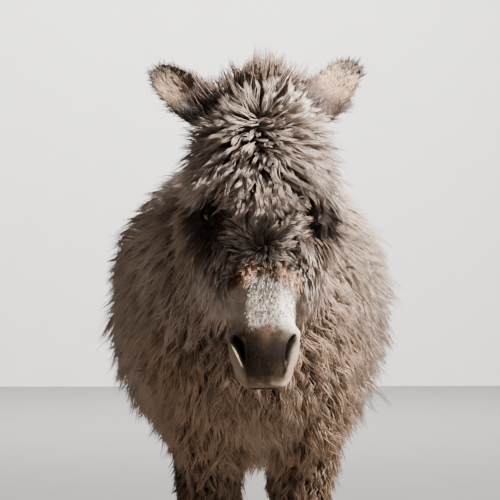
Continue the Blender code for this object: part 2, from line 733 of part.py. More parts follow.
class Coat:
    """Grows locks on the core: finds places for roots and follows the surface along the lie of the hair."""

    def __init__(self, core, cells):
        self.mesh = core.data
        self.mesh.calc_loop_triangles()
        self.tree = BVHTree.FromPolygons(
            [v.co.copy() for v in self.mesh.vertices],
            [tuple(t.vertices) for t in self.mesh.loop_triangles],
        )
        self.cells = cells
        self.draw = random.Random(SEED)

    def part_at(self, point):
        for name, planes in self.cells:
            if inside(point, planes):
                kind = name.split("_")[0]
                if kind.endswith("leg") and point.z < SHANK_TOP:
                    return "shank"
                return kind
        return "torso"

    def roots(self, tries):
        """Places down the face, then random ones, none nearer to another than its part of the coat allows."""
        triangles = self.mesh.loop_triangles
        areas = [t.area for t in triangles]
        picked = self.draw.choices(range(len(triangles)), weights=areas, k=tries)
        over_face = [on_head(down, FACE_OVER, across) for down, across in FACE_ROOTS]
        kept = [(self.tree.find_nearest(place)[0], "head") for place in over_face]
        for index in picked:
            a, b, c = (self.mesh.vertices[v].co for v in triangles[index].vertices)
            u, v = self.draw.random(), self.draw.random()
            if u + v > 1.0:
                u, v = 1.0 - u, 1.0 - v
            point = a + (b - a) * u + (c - a) * v
            part = self.part_at(point)
            if part not in LOCKS or not self.grows_at(point, part):
                continue
            near = LOCKS[part][0]
            if all((point - other).length > (near + LOCKS[kind][0]) / 2.0 for other, kind in kept):
                kept.append((point, part))
        return kept

    def grows_at(self, point, part):
        """No lock grows on the bare muzzle, over the eyes, on the ears or under the mane."""
        if part == "head":
            if (point - POLL).dot(face_axes()[0]) > MUZZLE_FROM:
                return False
            for side in (1, -1):
                if (point - eye_centre(side)).length < CLEAR_OF_FEATURES:
                    return False
                if (point - ear_root(side)).length < CLEAR_OF_FEATURES:
                    return False
        if part == "shank" and point.z < CORONET_Z + CLEAR_OF_CORONET:
            return False
        if part == "torso" and point.y > behind(DOCK_FROM) and abs(point.x) < DOCK_HALF_WIDTH:
            return False
        return True

    def lie(self, point, part):
        """Where the hair runs at this point, before it is laid on the surface."""
        down, out, across = face_axes()
        if part != "head":
            return Vector(LIES.get(part, LEG_LIE))
        offset = point - on_head(WHORL_DOWN, 0.0, 0.0)
        rise, width = -offset.dot(down), offset.dot(across)
        if offset.dot(out) < CHEEK_UNDER:
            return down * CHEEK_LIE[0] + out * CHEEK_LIE[1]
        aside, along, lower = WHORL_SPREAD
        return across * width * aside - down * rise * along + down * lower

    def follow(self, point, part, length, turn):
        """Places and normals along a lock that starts at point and follows the lie, and whether it bends
        gently all the way."""
        place, normal, _, _ = self.tree.find_nearest(point)
        trail = [(place, normal)]
        gentle = True
        step = length / LOCK_STEPS
        for _ in range(LOCK_STEPS):
            run = self.lie(place, part)
            run = (run - normal * run.dot(normal)).normalized()
            run = Matrix.Rotation(turn, 3, normal) @ run
            near, surface, _, _ = self.tree.find_nearest(place + run * step)
            gentle = gentle and (near - place).length > step * 0.7 and surface.dot(normal) > 0.5
            gentle = gentle and self.part_at(near + surface * 0.02) != "ear"
            place, normal = near, (normal + surface).normalized()
            trail.append((place, normal))
        return trail, gentle

    def lock(self, point, part):
        """A flat lock, three sided, sunk at its root and lifting to its tip. Where the body bends sharply it
        is shorter, and where it bends too sharply for any there is none."""
        _, length, width, thick, lift = LOCKS[part]
        length *= self.draw.uniform(1.0 - LOCK_VARIES[0], 1.0 + LOCK_VARIES[0])
        width *= self.draw.uniform(1.0 - LOCK_VARIES[1], 1.0 + LOCK_VARIES[1])
        lift *= self.draw.uniform(1.0 - LOCK_VARIES[2], 1.0 + LOCK_VARIES[2])
        turn = self.draw.uniform(-LOCK_TURNS, LOCK_TURNS)
        for share in LOCK_SHORTER:
            trail, gentle = self.follow(point, part, length * share, turn)
            if gentle:
                return tapered_lock(trail, width, thick, lift)
        return None


def tapered_lock(trail, width, thick, lift):
    """A closed lock along (place, normal) pairs: its width, ridge and height follow fixed profiles."""
    rings = []
    last = len(trail) - 1
    for i in range(last):
        place, normal = trail[i]
        run = (trail[i + 1][0] - trail[max(i - 1, 0)][0]).normalized()
        across = run.cross(normal).normalized()
        half = width * LOCK_WIDE[i] / 2.0
        middle = place + normal * (lift * LOCK_HIGH[i] - LOCK_SUNK[min(i, 1)])
        ridge = thick * (1.0 - LOCK_THINS * i / last)
        rings.append([middle - across * half, middle + across * half, middle + normal * ridge])
    tip = trail[last][0] + trail[last][1] * lift * LOCK_HIGH[last]
    points = [p for ring in rings for p in ring] + [tip]
    faces = [(0, 1, 2)]
    for r in range(len(rings) - 1):
        for i in range(3):
            j = (i + 1) % 3
            faces.append((3 * r + i, 3 * r + j, 3 * r + 3 + j, 3 * r + 3 + i))
    top = 3 * (len(rings) - 1)
    for i in range(3):
        faces.append((top + i, top + (i + 1) % 3, len(points) - 1))
    return closed_object("lock", points, faces)


def standing_lock(root, rise, bend, across, size):
    """A lock that stands off the body along rise and leans over along bend."""
    length, width, thick = size
    trail = []
    for i in range(LOCK_STEPS + 1):
        share = i / LOCK_STEPS
        place = root + rise * length * share + bend * length * share * share
        facing = across.cross(rise + bend * 2.0 * share).normalized()
        trail.append((place, facing))
    return tapered_lock(trail, width, thick, 0.0)


def mane(tree, draw):
    """Upright locks along the crest of the neck, leaning to either side in turn."""
    locks = []
    up, along = Vector((0, 0, 1)), Vector((0, 1, 0))
    for i in range(MANE_COUNT):
        share = i / (MANE_COUNT - 1)
        y = behind(MANE_FROM + (MANE_TO - MANE_FROM) * share)
        crest, normal, _, _ = tree.ray_cast(Vector((0.0, y, 2.0)), -up)
        side = 1 if i % 2 else -1
        rise = (normal * 0.8 + up * 0.4 - along * 0.25 + along * draw.uniform(-0.12, 0.12)).normalized()
        bend = Vector((side * draw.uniform(0.10, 0.28), draw.uniform(0.05, 0.25), -0.10))
        scale = 1.0 - MANE_SHORTENS * share + draw.uniform(-0.08, 0.08)
        size = (MANE_LOCK[0] * scale, MANE_LOCK[1], MANE_LOCK[2])
        root = crest - rise * MANE_SUNK - Vector((side * MANE_BESIDE, 0.0, 0.0))
        locks.append(standing_lock(root, rise, bend, along * side, size))
    return locks


def forelock(draw):
    """A fan of locks that stands up between the ears."""
    locks = []
    down, out, across = face_axes()
    for i in range(FORELOCK_COUNT):
        share = 2.0 * i / (FORELOCK_COUNT - 1) - 1.0
        root = on_head(0.006 - 0.014 * (1.0 - share * share), -0.026 + draw.uniform(-0.014, 0.014), 0.0)
        root += across * share * FORELOCK_HALF
        rise = (-down + across * share * 0.30 + out * draw.uniform(-0.10, 0.18)).normalized()
        bend = across * draw.uniform(-0.16, 0.16) + out * draw.uniform(0.05, 0.28)
        scale = 1.0 - 0.22 * share * share + draw.uniform(-0.08, 0.08)
        size = (FORELOCK_LOCK[0] * scale, FORELOCK_LOCK[1], FORELOCK_LOCK[2])
        locks.append(standing_lock(root, rise, bend, -across, size))
    return locks


def dock_place(height):
    """Where the dock's middle is at this height on its hanging stretch."""
    for before, after in zip(DOCK, DOCK[1:]):
        if after[1] <= height <= before[1]:
            share = (before[1] - height) / (before[1] - after[1])
            return behind(before[0] + (after[0] - before[0]) * share)
    return behind(DOCK[-1][0])


def tail_tuft(draw):
    """Long locks that hang from the lower half of the dock, all round it."""
    locks = []
    for i in range(TUFT_COUNT):
        share = i / (TUFT_COUNT - 1)
        height = TUFT_TOP + (TUFT_FOOT - TUFT_TOP) * share
        turn = TUFT_TURN * i
        radial = Vector((math.sin(turn), math.cos(turn), 0.0))
        root = Vector((0.0, dock_place(height), height)) + radial * 0.004
        rise = (Vector((0.0, 0.0, -1.0)) + radial * TUFT_FLARE).normalized()
        bend = radial * TUFT_BEND
        size = (TUFT_LOCK[0] * draw.uniform(0.92, 1.08), TUFT_LOCK[1], TUFT_LOCK[2])
        locks.append(standing_lock(root, rise, bend, rise.cross(radial), size))
    return locks


def main():
    for obj in list(bpy.data.objects):
        bpy.data.objects.remove(obj)
    whole = trunk_core()
    pieces = [neck_core(), head_core(), dock_core()]
    for side, where in ((1, "left"), (-1, "right")):
        pieces.append(leg_core("fore_" + where, FORELEG, side, FORE_STEP[side]))
        pieces.append(leg_core("hind_" + where, HINDLEG, side))
    boolean(whole, "UNION", pieces)
    keep_largest(whole)
    cells = node_cells()
    coat = Coat(whole, cells)
    roots = coat.roots(ROOT_TRIES)
    locks = [lock for lock in (coat.lock(point, part) for point, part in roots) if lock]
    hollows = []
    features = []
    for side in (1, -1):
        gaze, slit, over = eye_axes(side)
        length, height, depth = EYE_HOLLOW
        hollow = (slit * length, over * height, gaze * depth)
        hollows.append(ellipsoid("hollow", eye_centre(side) + gaze * EYE_HOLLOW_OUT, hollow, 6))
        features.append(ball("lids", side, EYE_RADIUS + LID))
        features.append(nostril("wing", side, NOSTRIL_RIM))
        features.append(ear(side))
    boolean(whole, "DIFFERENCE", hollows)
    locks += mane(coat.tree, coat.draw) + forelock(coat.draw) + tail_tuft(coat.draw)
    boolean(whole, "UNION", features + locks)
    keep_largest(whole)
    openings = [mouth_slot()]
    for side in (1, -1):
        openings.append(nostril("nostril", side, 0.0))
        openings.append(ball("socket", side, EYE_RADIUS + GAP))
        openings.append(eye_opening(side))
    boolean(whole, "DIFFERENCE", openings)
    keep_largest(whole)
    for name, planes in cells:
        node = copied(whole, name)
        boolean(node, "INTERSECT", [half_space_box("cell", planes)])
        without_slivers(keep_largest(node))
        boolean(whole, "DIFFERENCE", [half_space_box("cell", planes, GAP)])
        keep_largest(whole)
    without_slivers(whole).name = "torso"
    for side, where in ((1, "left"), (-1, "right")):
        hoof("forehoof_" + where, FORELEG, side, FORE_STEP[side])
        hoof("hindhoof_" + where, HINDLEG, side)
        ball("eye_" + where, side, EYE_RADIUS)
    for obj in bpy.data.objects:
        finish(obj, NODE_FINISH[obj.name.split("_")[0]])


main()
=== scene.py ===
"""The looks of a small shaggy mountain donkey in its winter coat, at life size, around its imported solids.

Metres, +Z up, the animal faces -Y and its left side is +X. One skin replaces the solids of flesh, and the
coat stands on it as solid tapered wisps, gathered in clumps, that follow the lie of the hair.
"""

import math

import bmesh
import bpy
import numpy as np
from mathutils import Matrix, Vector
from mathutils.bvhtree import BVHTree
from mathutils.kdtree import KDTree


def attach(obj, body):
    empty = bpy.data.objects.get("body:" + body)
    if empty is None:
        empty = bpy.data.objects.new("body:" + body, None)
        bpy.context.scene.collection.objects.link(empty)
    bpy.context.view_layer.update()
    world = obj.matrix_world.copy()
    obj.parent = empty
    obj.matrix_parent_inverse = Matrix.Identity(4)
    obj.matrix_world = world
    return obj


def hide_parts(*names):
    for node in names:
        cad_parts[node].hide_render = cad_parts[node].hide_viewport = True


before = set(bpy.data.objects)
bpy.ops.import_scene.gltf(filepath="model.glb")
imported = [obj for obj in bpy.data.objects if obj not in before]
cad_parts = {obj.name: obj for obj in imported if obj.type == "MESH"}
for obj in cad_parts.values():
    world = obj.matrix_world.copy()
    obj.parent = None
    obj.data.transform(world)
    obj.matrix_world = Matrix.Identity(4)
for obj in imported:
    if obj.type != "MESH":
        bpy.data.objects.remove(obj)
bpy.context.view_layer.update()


def metres(*rows):
    """A table whose rows are given in millimetres."""
    return np.array(rows) / 1000.0


# Main places of the animal, as in the solids. "Behind" is measured backwards from the withers, "down" along
# the face from the poll, "out" from the face line forwards and "across" from the middle to the left.
WITHERS_Y = -0.15
POLL = np.array((0.0, WITHERS_Y - 0.43, 1.015))
FACE_SLOPE = math.radians(76.0)
DOWN = np.array((0.0, -math.cos(FACE_SLOPE), -math.sin(FACE_SLOPE)))
OUT = np.array((0.0, -math.sin(FACE_SLOPE), math.cos(FACE_SLOPE)))
ACROSS = np.array((1.0, 0.0, 0.0))
BACK = np.array((0.0, 1.0, 0.0))
UP = np.array((0.0, 0.0, 1.0))
FULL_TURN = 2.0 * math.pi

# Sections of the trunk's skin: behind, height of the widest line, half width, rise to the back, drop to the
# belly
TRUNK = metres(
    (-228, 700, 60, 75, 85),
    (-205, 700, 100, 125, 135),
    (-135, 705, 140, 190, 190),
    (-30, 712, 168, 212, 220),
    (85, 708, 194, 205, 243),
    (205, 700, 210, 205, 248),
    (330, 700, 213, 210, 245),
    (450, 712, 200, 222, 228),
    (555, 728, 176, 226, 195),
    (645, 735, 140, 200, 160),
    (700, 735, 95, 150, 110),
    (722, 735, 50, 80, 60),
)

# Sections of the neck's skin: behind, height of the centre, half width, half height
NECK_RISE = math.radians(21.0)
NECK = metres(
    (20, 745, 115, 170),
    (-110, 785, 108, 168),
    (-210, 823, 94, 146),
    (-300, 860, 82, 126),
    (-385, 895, 72, 108),
)

# Sections of the head's skin: down, rise over the straight face line, depth of the jaw, half width
HEAD = metres(
    (-36, -52, 50, 20),
    (-28, -30, 94, 42),
    (-10, -8, 125, 62),
    (30, 8, 150, 76),
    (80, 16, 180, 85),
    (125, 17, 198, 89),
    (170, 12, 200, 88),
    (215, 5, 186, 77),
    (255, 0, 155, 63),
    (290, -3, 126, 55),
    (325, -5, 111, 53),
    (355, -5, 106, 56),
    (380, -7, 105, 55),
    (400, -12, 103, 47),
    (418, -20, 97, 38),
    (430, -30, 89, 29),
    (437, -42, 76, 18),
)

# Sections of a leg's skin: height, behind, distance from the middle, half width, half depth
FORELEG = metres(
    (640, -85, 85, 45, 75),
    (530, -60, 85, 48, 70),
    (430, -52, 84, 38, 49),
    (330, -50, 83, 29, 35),
    (280, -51, 83, 31, 36),
    (240, -50, 83, 30, 33),
    (195, -47, 83, 21, 26),
    (145, -46, 83, 20, 26),
    (110, -48, 83, 25, 30),
    (80, -60, 83, 22, 25),
    (45, -73, 83, 26, 30),
)
HINDLEG = metres(
    (760, 560, 80, 40, 70),
    (680, 575, 86, 62, 104),
    (600, 587, 90, 68, 112),
    (500, 588, 92, 54, 90),
    (430, 610, 92, 42, 62),
    (370, 650, 90, 32, 48),
    (325, 664, 89, 31, 44),
    (275, 660, 88, 24, 33),
    (190, 652, 88, 21, 28),
    (115, 648, 88, 26, 31),
    (82, 636, 88, 22, 25),
    (45, 624, 88, 26, 30),
)
# How far to the left of that each foreleg stands, because the animal steps in under itself with its right
FORE_STEP = {1: 0.003, -1: 0.014}
# Middles of the legs, behind and across, and the place that parts the forelegs from the hind legs
FORE_BEHIND, HIND_BEHIND, HOCK_BEHIND = -0.055, 0.6, 0.62
FORE_ASIDE, HIND_ASIDE = 0.083, 0.089
LEGS_PART = 0.3

# Where the head meets the neck: the foremost point of that border in side view, Y and Z, and how far
# forward the border goes for each metre up, over that point and under it
THROAT = (-0.385, 0.8)
THROAT_LEAN = (0.554, -0.461)

# Hoof: height of the coronet, half width and half depth at the sole and there, reach of the toe
CORONET_Z = 0.052
HOOF_SOLE = (0.033, 0.04)
HOOF_TOP = (0.03, 0.034)
HOOF_REACH = 0.01
# Height of its growth rings, and how fast they follow each other up the wall
HOOF_RIDGE, HOOF_RIDGES = 0.00045, 900.0

# Sections of the tail's dock: behind, height, radius
DOCK = metres((660, 885, 26), (730, 884, 25), (782, 850, 21), (800, 780, 18), (802, 700, 15), (800, 610, 11))

# Eye: centre down, out and across. Half length and half height of the opening between the lids.
EYE = (0.152, -0.048, 0.076)
EYE_RADIUS = 0.0185
EYE_OPENING = (0.015, 0.0095)

# Ear: middle of its root, length, way and facing, then share of length, half width and half depth of the
# leaf. The animal holds its right ear a little lower than its left.
EAR_ROOT = (0.012, -0.04, 0.056)
EAR_LENGTH = 0.205
EAR_WAY = {1: (0.5, 0.62, 0.6), -1: (-0.565, 0.61, 0.555)}
EAR_FACING = {1: (0.0, -0.9, 0.4), -1: (-0.05, -0.85, 0.45)}
EAR_LEAF = (
    (0.0, 0.024, 0.02),
    (0.2, 0.033, 0.025),
    (0.42, 0.037, 0.024),
    (0.64, 0.033, 0.019),
    (0.82, 0.028, 0.013),
    (0.94, 0.02, 0.009),
    (1.0, 0.009, 0.005),
)

# Nostril: its top and its foot. Mouth: the front of the line between the lips and its corner, down and out
NOSTRIL = ((0.352, -0.022, 0.05), (0.392, -0.022, 0.029))
MOUTH_FRONT = (0.432, -0.036)
MOUTH_CORNER = (0.378, -0.074)

# The two places that the hair of the face spreads from and where they meet, measured down the face
CROWN_DOWN = 0.03
WHORL_DOWN = 0.222
MEETING_DOWN = 0.148

# Where the pieces of the coat part: down the face, out from it and behind the withers
MUZZLE_START, CHEEK_START = 0.28, -0.075
NECK_END, SHOULDER_END, RUMP_START = -0.16, 0.13, 0.42
# Middles that the head and the body are unwrapped round
HEAD_MIDDLE, BODY_MIDDLE_Z = 0.075, 0.72

# A wisp: depth of its root in the skin, thickness as a share of its width, turn of its curl from root to tip
ROOT_DEPTH = 0.0015
FLATNESS = 0.62
CURL_TURN = 5.2

# Wisps a square metre, and the count of those of the mane and the forelock
BODY_WISPS, CHEST_WISPS, LEG_WISPS, TAIL_WISPS = 31000.0, 24000.0, 62000.0, 12000.0
HEAD_WISPS, MUZZLE_WISPS, EAR_WISPS, LONG_WISPS = 132000.0, 220000.0, 120000.0, 60000.0
MANE_WISPS, FORELOCK_WISPS = 1500, 1100

# Height over the animal that the skin is looked for from, cell of the skin's first mesh, side of a hair's
# patch on the unwrap and seed of the random draws
ABOVE_Z = 1.3
SKIN_VOXEL = 0.0072
PATCH = 0.003
SEED = 11

# Camera: its place, its turn away from straight ahead, its lens and its sensor, both in millimetres
CAMERA_PLACE = (-0.16, -4.817, 0.8)
CAMERA_TURN = -math.atan2(0.033, 0.999)
LENS, SENSOR = 194.0, 36.0


def behind(distance):
    return WITHERS_Y + distance


def at(back, height, across=0.0):
    return np.array((across, behind(back), height))


def on_head(down, out, across=0.0):
    """The point at these distances from the poll in the head's own axes."""
    return POLL + DOWN * down + OUT * out + ACROSS * across


def on_side(place, side):
    """A place of the left half of the head, down, out and across, on this side of it."""
    return on_head(place[0], place[1], side * place[2])


def head_places(points):
    """Distances down, out and across of each point."""
    offset = points - POLL
    return offset @ DOWN, offset @ OUT, offset[:, 0]


def unit(vectors):
    return vectors / np.maximum(np.linalg.norm(vectors, axis=-1, keepdims=True), 1e-9)


def ramp(values, low, high):
    """0 at low, 1 at high, smooth between."""
    share = np.clip((values - low) / (high - low), 0.0, 1.0)
    return share * share * (3.0 - 2.0 * share)


def fall(values, low, high):
    """1 at low, 0 at high, smooth between."""
    return 1.0 - ramp(values, low, high)


def bell(values, centre, spread):
    return np.exp(-(((values - centre) / spread) ** 2))


def blend(first, last, share):
    return first * (1.0 - share) + last * share


def led(ways, way, share):
    """The ways drawn over to another by each one's share."""
    return blend(ways, np.asarray(way), share[:, None])


def swung(ways, normals, angle):
    """The ways turned about the normals."""
    return unit(ways * np.cos(angle)[:, None] + np.cross(normals, ways) * np.sin(angle)[:, None])


def drift(points, size, seed):
    """A smooth random field between about -1 and 1, whose patches are about this size."""
    draw = np.random.default_rng(seed)
    total = np.zeros(len(points))
    for _ in range(5):
        way = unit(draw.normal(size=3)) * (FULL_TURN / (size * draw.uniform(0.7, 1.6)))
        total += np.sin(points @ way + draw.uniform(0.0, 6.28))
    return total / 2.6


def tone(red, green, blue):
    """A colour as seen on a screen, as numbers for a material."""
    return np.array([(value / 255.0) ** 2.2 for value in (red, green, blue)])


def sided(name, side):
    return name + ("_left" if side > 0 else "_right")


def placed(name, data):
    made = bpy.data.objects.new(name, data)
    bpy.context.scene.collection.objects.link(made)
    return made


def mesh_object(name, points, faces):
    mesh = bpy.data.meshes.new(name)
    mesh.from_pydata([tuple(p) for p in points], [], faces)
    return placed(name, mesh)


def read_rows(items, field, kind=float):
    """One field of three numbers of many items, as rows."""
    flat = np.empty(len(items) * 3, kind)
    items.foreach_get(field, flat)
    return flat.reshape(-1, 3)


def keep_places(mesh, name, rows):
    mesh.attributes.new(name, "FLOAT_VECTOR", "POINT").data.foreach_set("vector", np.asarray(rows).ravel())


def faced_out(obj):
    """Merges doubles, turns every face outwards and shades it smooth."""
    body = bmesh.new()
    body.from_mesh(obj.data)
    bmesh.ops.remove_doubles(body, verts=body.verts, dist=1e-6)
    bmesh.ops.recalc_face_normals(body, faces=body.faces)
    body.to_mesh(obj.data)
    body.free()
    obj.data.shade_smooth()
    return obj


def loft(rings):
    """Points and faces of a skin over rings of equal count, each end closed."""
    count = len(rings[0])
    points = [p for ring in rings for p in ring]
    faces = []
    for r in range(len(rings) - 1):
        for i in range(count):
            j = (i + 1) % count
            faces.append((r * count + i, r * count + j, (r + 1) * count + j, (r + 1) * count + i))
    faces.append(tuple(range(count)))
    faces.append(tuple((len(rings) - 1) * count + i for i in range(count)))
    return points, faces


def oval(centre, up, half_width, rise, drop, sides, fullness=(2.0, 2.0)):
    """A ring of points, with how square it is above and below its widest line. 2 is an ellipse."""
    ring = []
    for i in range(sides):
        turn = FULL_TURN * (i + 0.5) / sides
        c, s = math.cos(turn), math.sin(turn)
        power = 2.0 / (fullness[0] if s > 0 else fullness[1])
        x = math.copysign(abs(c) ** power, c) * half_width
        y = math.copysign(abs(s) ** power, s) * (rise if s > 0 else drop)
        ring.append(centre + ACROSS * x + up * y)
    return ring


def between(sections, steps=3):
    """The sections with more of them read from a smooth curve through the given ones."""
    table = np.array(sections, float)
    last = len(table) - 1
    rows = []
    for place in np.linspace(0.0, float(last), last * steps + 1):
        k = min(int(place), last - 1)
        t = place - k
        a, b = table[k], table[k + 1]
        slope_a, slope_b = (b - table[max(k - 1, 0)]) / 2.0, (table[min(k + 2, last)] - a) / 2.0
        first = a * (2 * t**3 - 3 * t**2 + 1) + slope_a * (t**3 - 2 * t**2 + t)
        rows.append(first + b * (3 * t**2 - 2 * t**3) + slope_b * (t**3 - t**2))
    return rows


def flesh_rings():
    """Rings of points round the trunk, neck, head, dock and legs, which the skin is drawn over."""
    nape = BACK * math.sin(NECK_RISE) + UP * math.cos(NECK_RISE)
    trunk, neck, head, dock = [], [], [], []
    for back, height, width, rise, drop in between(TRUNK):
        trunk.append(oval(at(back, height), UP, width, rise, drop, 40, (2.5, 2.15)))
    for back, height, width, half in between(NECK):
        neck.append(oval(at(back, height), nape, width, half, half, 32))
    for down, rise, depth, width in between(HEAD):
        widest = on_head(down, -depth * 0.38)
        head.append(oval(widest, OUT, width, rise + depth * 0.38, depth * 0.62, 40, (2.25, 2.25)))
    rows = between(DOCK)
    for i, (back, height, radius) in enumerate(rows):
        before, after = rows[max(i - 1, 0)], rows[min(i + 1, len(rows) - 1)]
        along = unit(np.array((0.0, after[0] - before[0], after[1] - before[1])))
        dock.append(oval(at(back, height), np.cross(along, ACROSS), radius, radius, radius, 16))
    forms = [trunk, neck, head, dock]
    for side in (1, -1):
        for sections, step in ((FORELEG, FORE_STEP[side]), (HINDLEG, 0.0)):
            leg = []
            for height, back, middle, width, depth in between(sections):
                leg.append(oval(at(back, height, side * middle + step), BACK, width, depth, depth, 24))
            forms.append(leg)
    return forms


def eye_axes(side):
    """Out of the eye, along its opening towards the nose and across the lids."""
    gaze = unit(ACROSS * side * 0.86 + OUT * 0.5 - DOWN * 0.06)
    slit = DOWN * 0.96 + OUT * 0.2
    slit = unit(slit - gaze * (slit @ gaze))
    return gaze, slit, np.cross(gaze, slit) * side


def eye_reach(points, side):
    """Distances along the slit, over it and out along the gaze from the middle of the eye."""
    gaze, slit, over = eye_axes(side)
    offset = points - on_side(EYE, side)
    return offset @ slit, offset @ over, offset @ gaze


def shape_eyes(points):
    """Draws the skin over each ball as two lids round an almond opening, in a shallow hollow.

    Also gives the dark rims of the lids, with painted shade where they meet the ball.
    """
    shade = np.zeros(len(points))
    for side in (1, -1):
        gaze = eye_axes(side)[0]
        along, over, height = eye_reach(points, side)
        aside = np.hypot(along, over)
        spread = np.hypot(along / 0.03, over / 0.025)
        lid = np.sqrt(np.maximum((EYE_RADIUS + 0.0028) ** 2 - along**2 - over**2, 0.0))
        lid = np.where(aside > EYE_RADIUS, lid - 0.004, lid)
        hollow = -0.0045 * bell(spread, 1.1, 0.28)
        fold = 0.0016 * bell(spread, 0.8, 0.09) * (over > 0.0)
        narrow = EYE_OPENING[1] * (1.0 - 0.25 * np.abs(along) / EYE_OPENING[0])
        almond = np.hypot(along / EYE_OPENING[0], over / narrow)
        rim = 0.0012 * bell(almond, 1.22, 0.16)
        target = blend(lid, height, ramp(spread, 0.55, 1.05)) + hollow + fold + rim
        target = blend(target, 0.004, fall(almond, 0.9, 1.06))
        close = (aside < 0.06) & (height > -0.02) & (spread < 1.8)
        shade = np.maximum(shade, np.where(close, fall(almond, 1.1, 1.45), 0.0))
        points = points + gaze * np.where(close, target - height, 0.0)[:, None]
    return points, shade


def nostril_ends(side):
    return [on_side(place, side) for place in NOSTRIL]


def open_nostrils(points, on_muzzle):
    """Sinks a comma with a raised wing on each side, and gives the painted shade in its hole."""
    shade = np.zeros(len(points))
    for side in (1, -1):
        top, foot = nostril_ends(side)
        along_way = unit(foot - top)
        face = ACROSS * side * 0.72 + OUT * 0.69
        face = unit(face - along_way * (face @ along_way))
        offset = points - (top + foot) / 2.0
        a = (offset @ along_way) / (np.linalg.norm(foot - top) / 2.0)
        b = offset @ np.cross(along_way, face) - 0.0045 * side * (1.0 - a * a)
        slot = np.hypot(a, b / (0.0058 - 0.0018 * a))
        close = on_muzzle & (offset @ face > -0.03) & (slot < 3.0)
        hole = -0.02 * fall(slot, 0.5, 1.15)
        wing = 0.0045 * bell(slot, 1.5, 0.32) * (0.15 + 0.85 * ramp(-b * side, -0.002, 0.004))
        points = points + face * np.where(close, hole + wing, 0.0)[:, None]
        shade = np.maximum(shade, np.where(close, fall(slot, 0.85, 1.12), 0.0))
    return points, shade


def lip_gap(points):
    """Height over the line between the lips."""
    down, out, across = head_places(points)
    run = (down - MOUTH_CORNER[0]) / (MOUTH_FRONT[0] - MOUTH_CORNER[0])
    return out - (MOUTH_CORNER[1] + (MOUTH_FRONT[1] - MOUTH_CORNER[1]) * run - 0.02 * (across / 0.05) ** 2)


def part_lips(points, of_head):
    """A groove between full lips, with the lower one tucked back, and the painted shade in it."""
    gap = lip_gap(points)
    at_mouth = ramp(head_places(points)[0], MOUTH_CORNER[0] - 0.004, MOUTH_CORNER[0] + 0.01)
    groove = -0.0065 * bell(gap, 0.0, 0.0022) * at_mouth
    upper = 0.003 * bell(gap, 0.0085, 0.006) * at_mouth
    lower = 0.002 * bell(gap, -0.008, 0.0055) * at_mouth
    away = unit(points - on_head(0.38, -0.055))
    points = points + away * ((groove + upper + lower) * of_head)[:, None]
    shade = bell(gap, -0.0004, 0.0032) * at_mouth * of_head
    down, out, across = head_places(points)
    dent = -0.0018 * bell(across, 0.0, 0.007) * ramp(down, 0.395, 0.42) * (out > -0.048) * of_head
    tuck = (0.004 * ramp(-gap, 0.001, 0.01) + 0.018 * ramp(-gap, 0.012, 0.06)) * of_head
    tuck = tuck * ramp(down, 0.372, 0.412)
    return points + OUT * dent[:, None] - DOWN * tuck[:, None], shade


def shape_muzzle(points):
    """Gives the nose its bony edges, opens the nostrils and parts the lips."""
    down, out, across = head_places(points)
    of_head = head_share(points) > 0.5
    along_nose = ramp(down, 0.235, 0.275) * fall(down, 0.335, 0.362) * ramp(out, -0.06, -0.03)
    edge = 0.003 * bell(np.abs(across), 0.027, 0.01) - 0.0012 * bell(across, 0.0, 0.014)
    points = points + OUT * (edge * along_nose * of_head)[:, None]
    cheek = -0.006 * ramp(down, 0.27, 0.295) * fall(down, 0.322, 0.348) * bell(out, -0.04, 0.022)
    points = points + ACROSS * (np.sign(across) * cheek * of_head)[:, None]
    points, holes = open_nostrils(points, of_head & (down > 0.3))
    points, seam = part_lips(points, of_head & (down > 0.36))
    return points, np.maximum(holes, seam)


def finer(mesh, chosen):
    """Splits every face that has a chosen point into four."""
    body = bmesh.new()
    body.from_mesh(mesh)
    picked = set(np.nonzero(chosen)[0].tolist())
    edges = {edge for edge in body.edges if edge.verts[0].index in picked or edge.verts[1].index in picked}
    bmesh.ops.subdivide_edges(body, edges=list(edges), cuts=1, use_grid_fill=True, smooth=0.0)
    body.to_mesh(mesh)
    body.free()


def body_skin():
    """One closed skin over the whole body, finest round the eyes, nostrils and lips."""
    points, faces = [], []
    for rings in flesh_rings():
        more, sides = loft(rings)
        faces += [tuple(len(points) + corner for corner in face) for face in sides]
        points += more
    skin = faced_out(mesh_object("skin", points, faces))
    remesh = skin.modifiers.new("whole", "REMESH")
    remesh.mode = "VOXEL"
    remesh.voxel_size = SKIN_VOXEL
    soft = skin.modifiers.new("soft", "SMOOTH")
    soft.factor = 0.5
    soft.iterations = 8
    graph = bpy.context.evaluated_depsgraph_get()
    whole = bpy.data.meshes.new_from_object(skin.evaluated_get(graph))
    skin.modifiers.clear()
    skin.data = whole
    # Three rounds, each finer: from how far down, how near an eye and how near a nostril or the lips
    for low, reach, beside in ((0.29, 0.044, 0.03), (0.33, 0.034, 0.022), (0.5, 0.026, 0.011)):
        points = read_rows(whole.vertices, "co")
        down = head_places(points)[0]
        chosen = (down > low) | (nostril_distance(points) < beside)
        chosen |= (np.abs(lip_gap(points)) < beside * 0.8) & (down > MOUTH_CORNER[0] - 0.01)
        chosen &= head_share(points) > 0.5
        for side in (1, -1):
            chosen |= np.linalg.norm(points - on_side(EYE, side), axis=1) < reach
        finer(whole, chosen)
    points, lids = shape_eyes(read_rows(whole.vertices, "co"))
    points, muzzle = shape_muzzle(points)
    whole.vertices.foreach_set("co", points.ravel())
    # Painted shade in the nostrils and the groove of the mouth, and the dark lid rims with painted shade at
    # the eyes
    shade = whole.attributes.new("shade", "FLOAT", "POINT")
    shade.data.foreach_set("value", np.maximum(lids, muzzle))
    whole.update()
    whole.shade_smooth()
    return skin


def ear_axes(side):
    """Along the ear to its tip, out of its opening and across it."""
    along = unit(np.array(EAR_WAY[side]))
    facing = np.array(EAR_FACING[side])
    opening = unit(facing - along * (facing @ along))
    return along, opening, np.cross(along, opening)


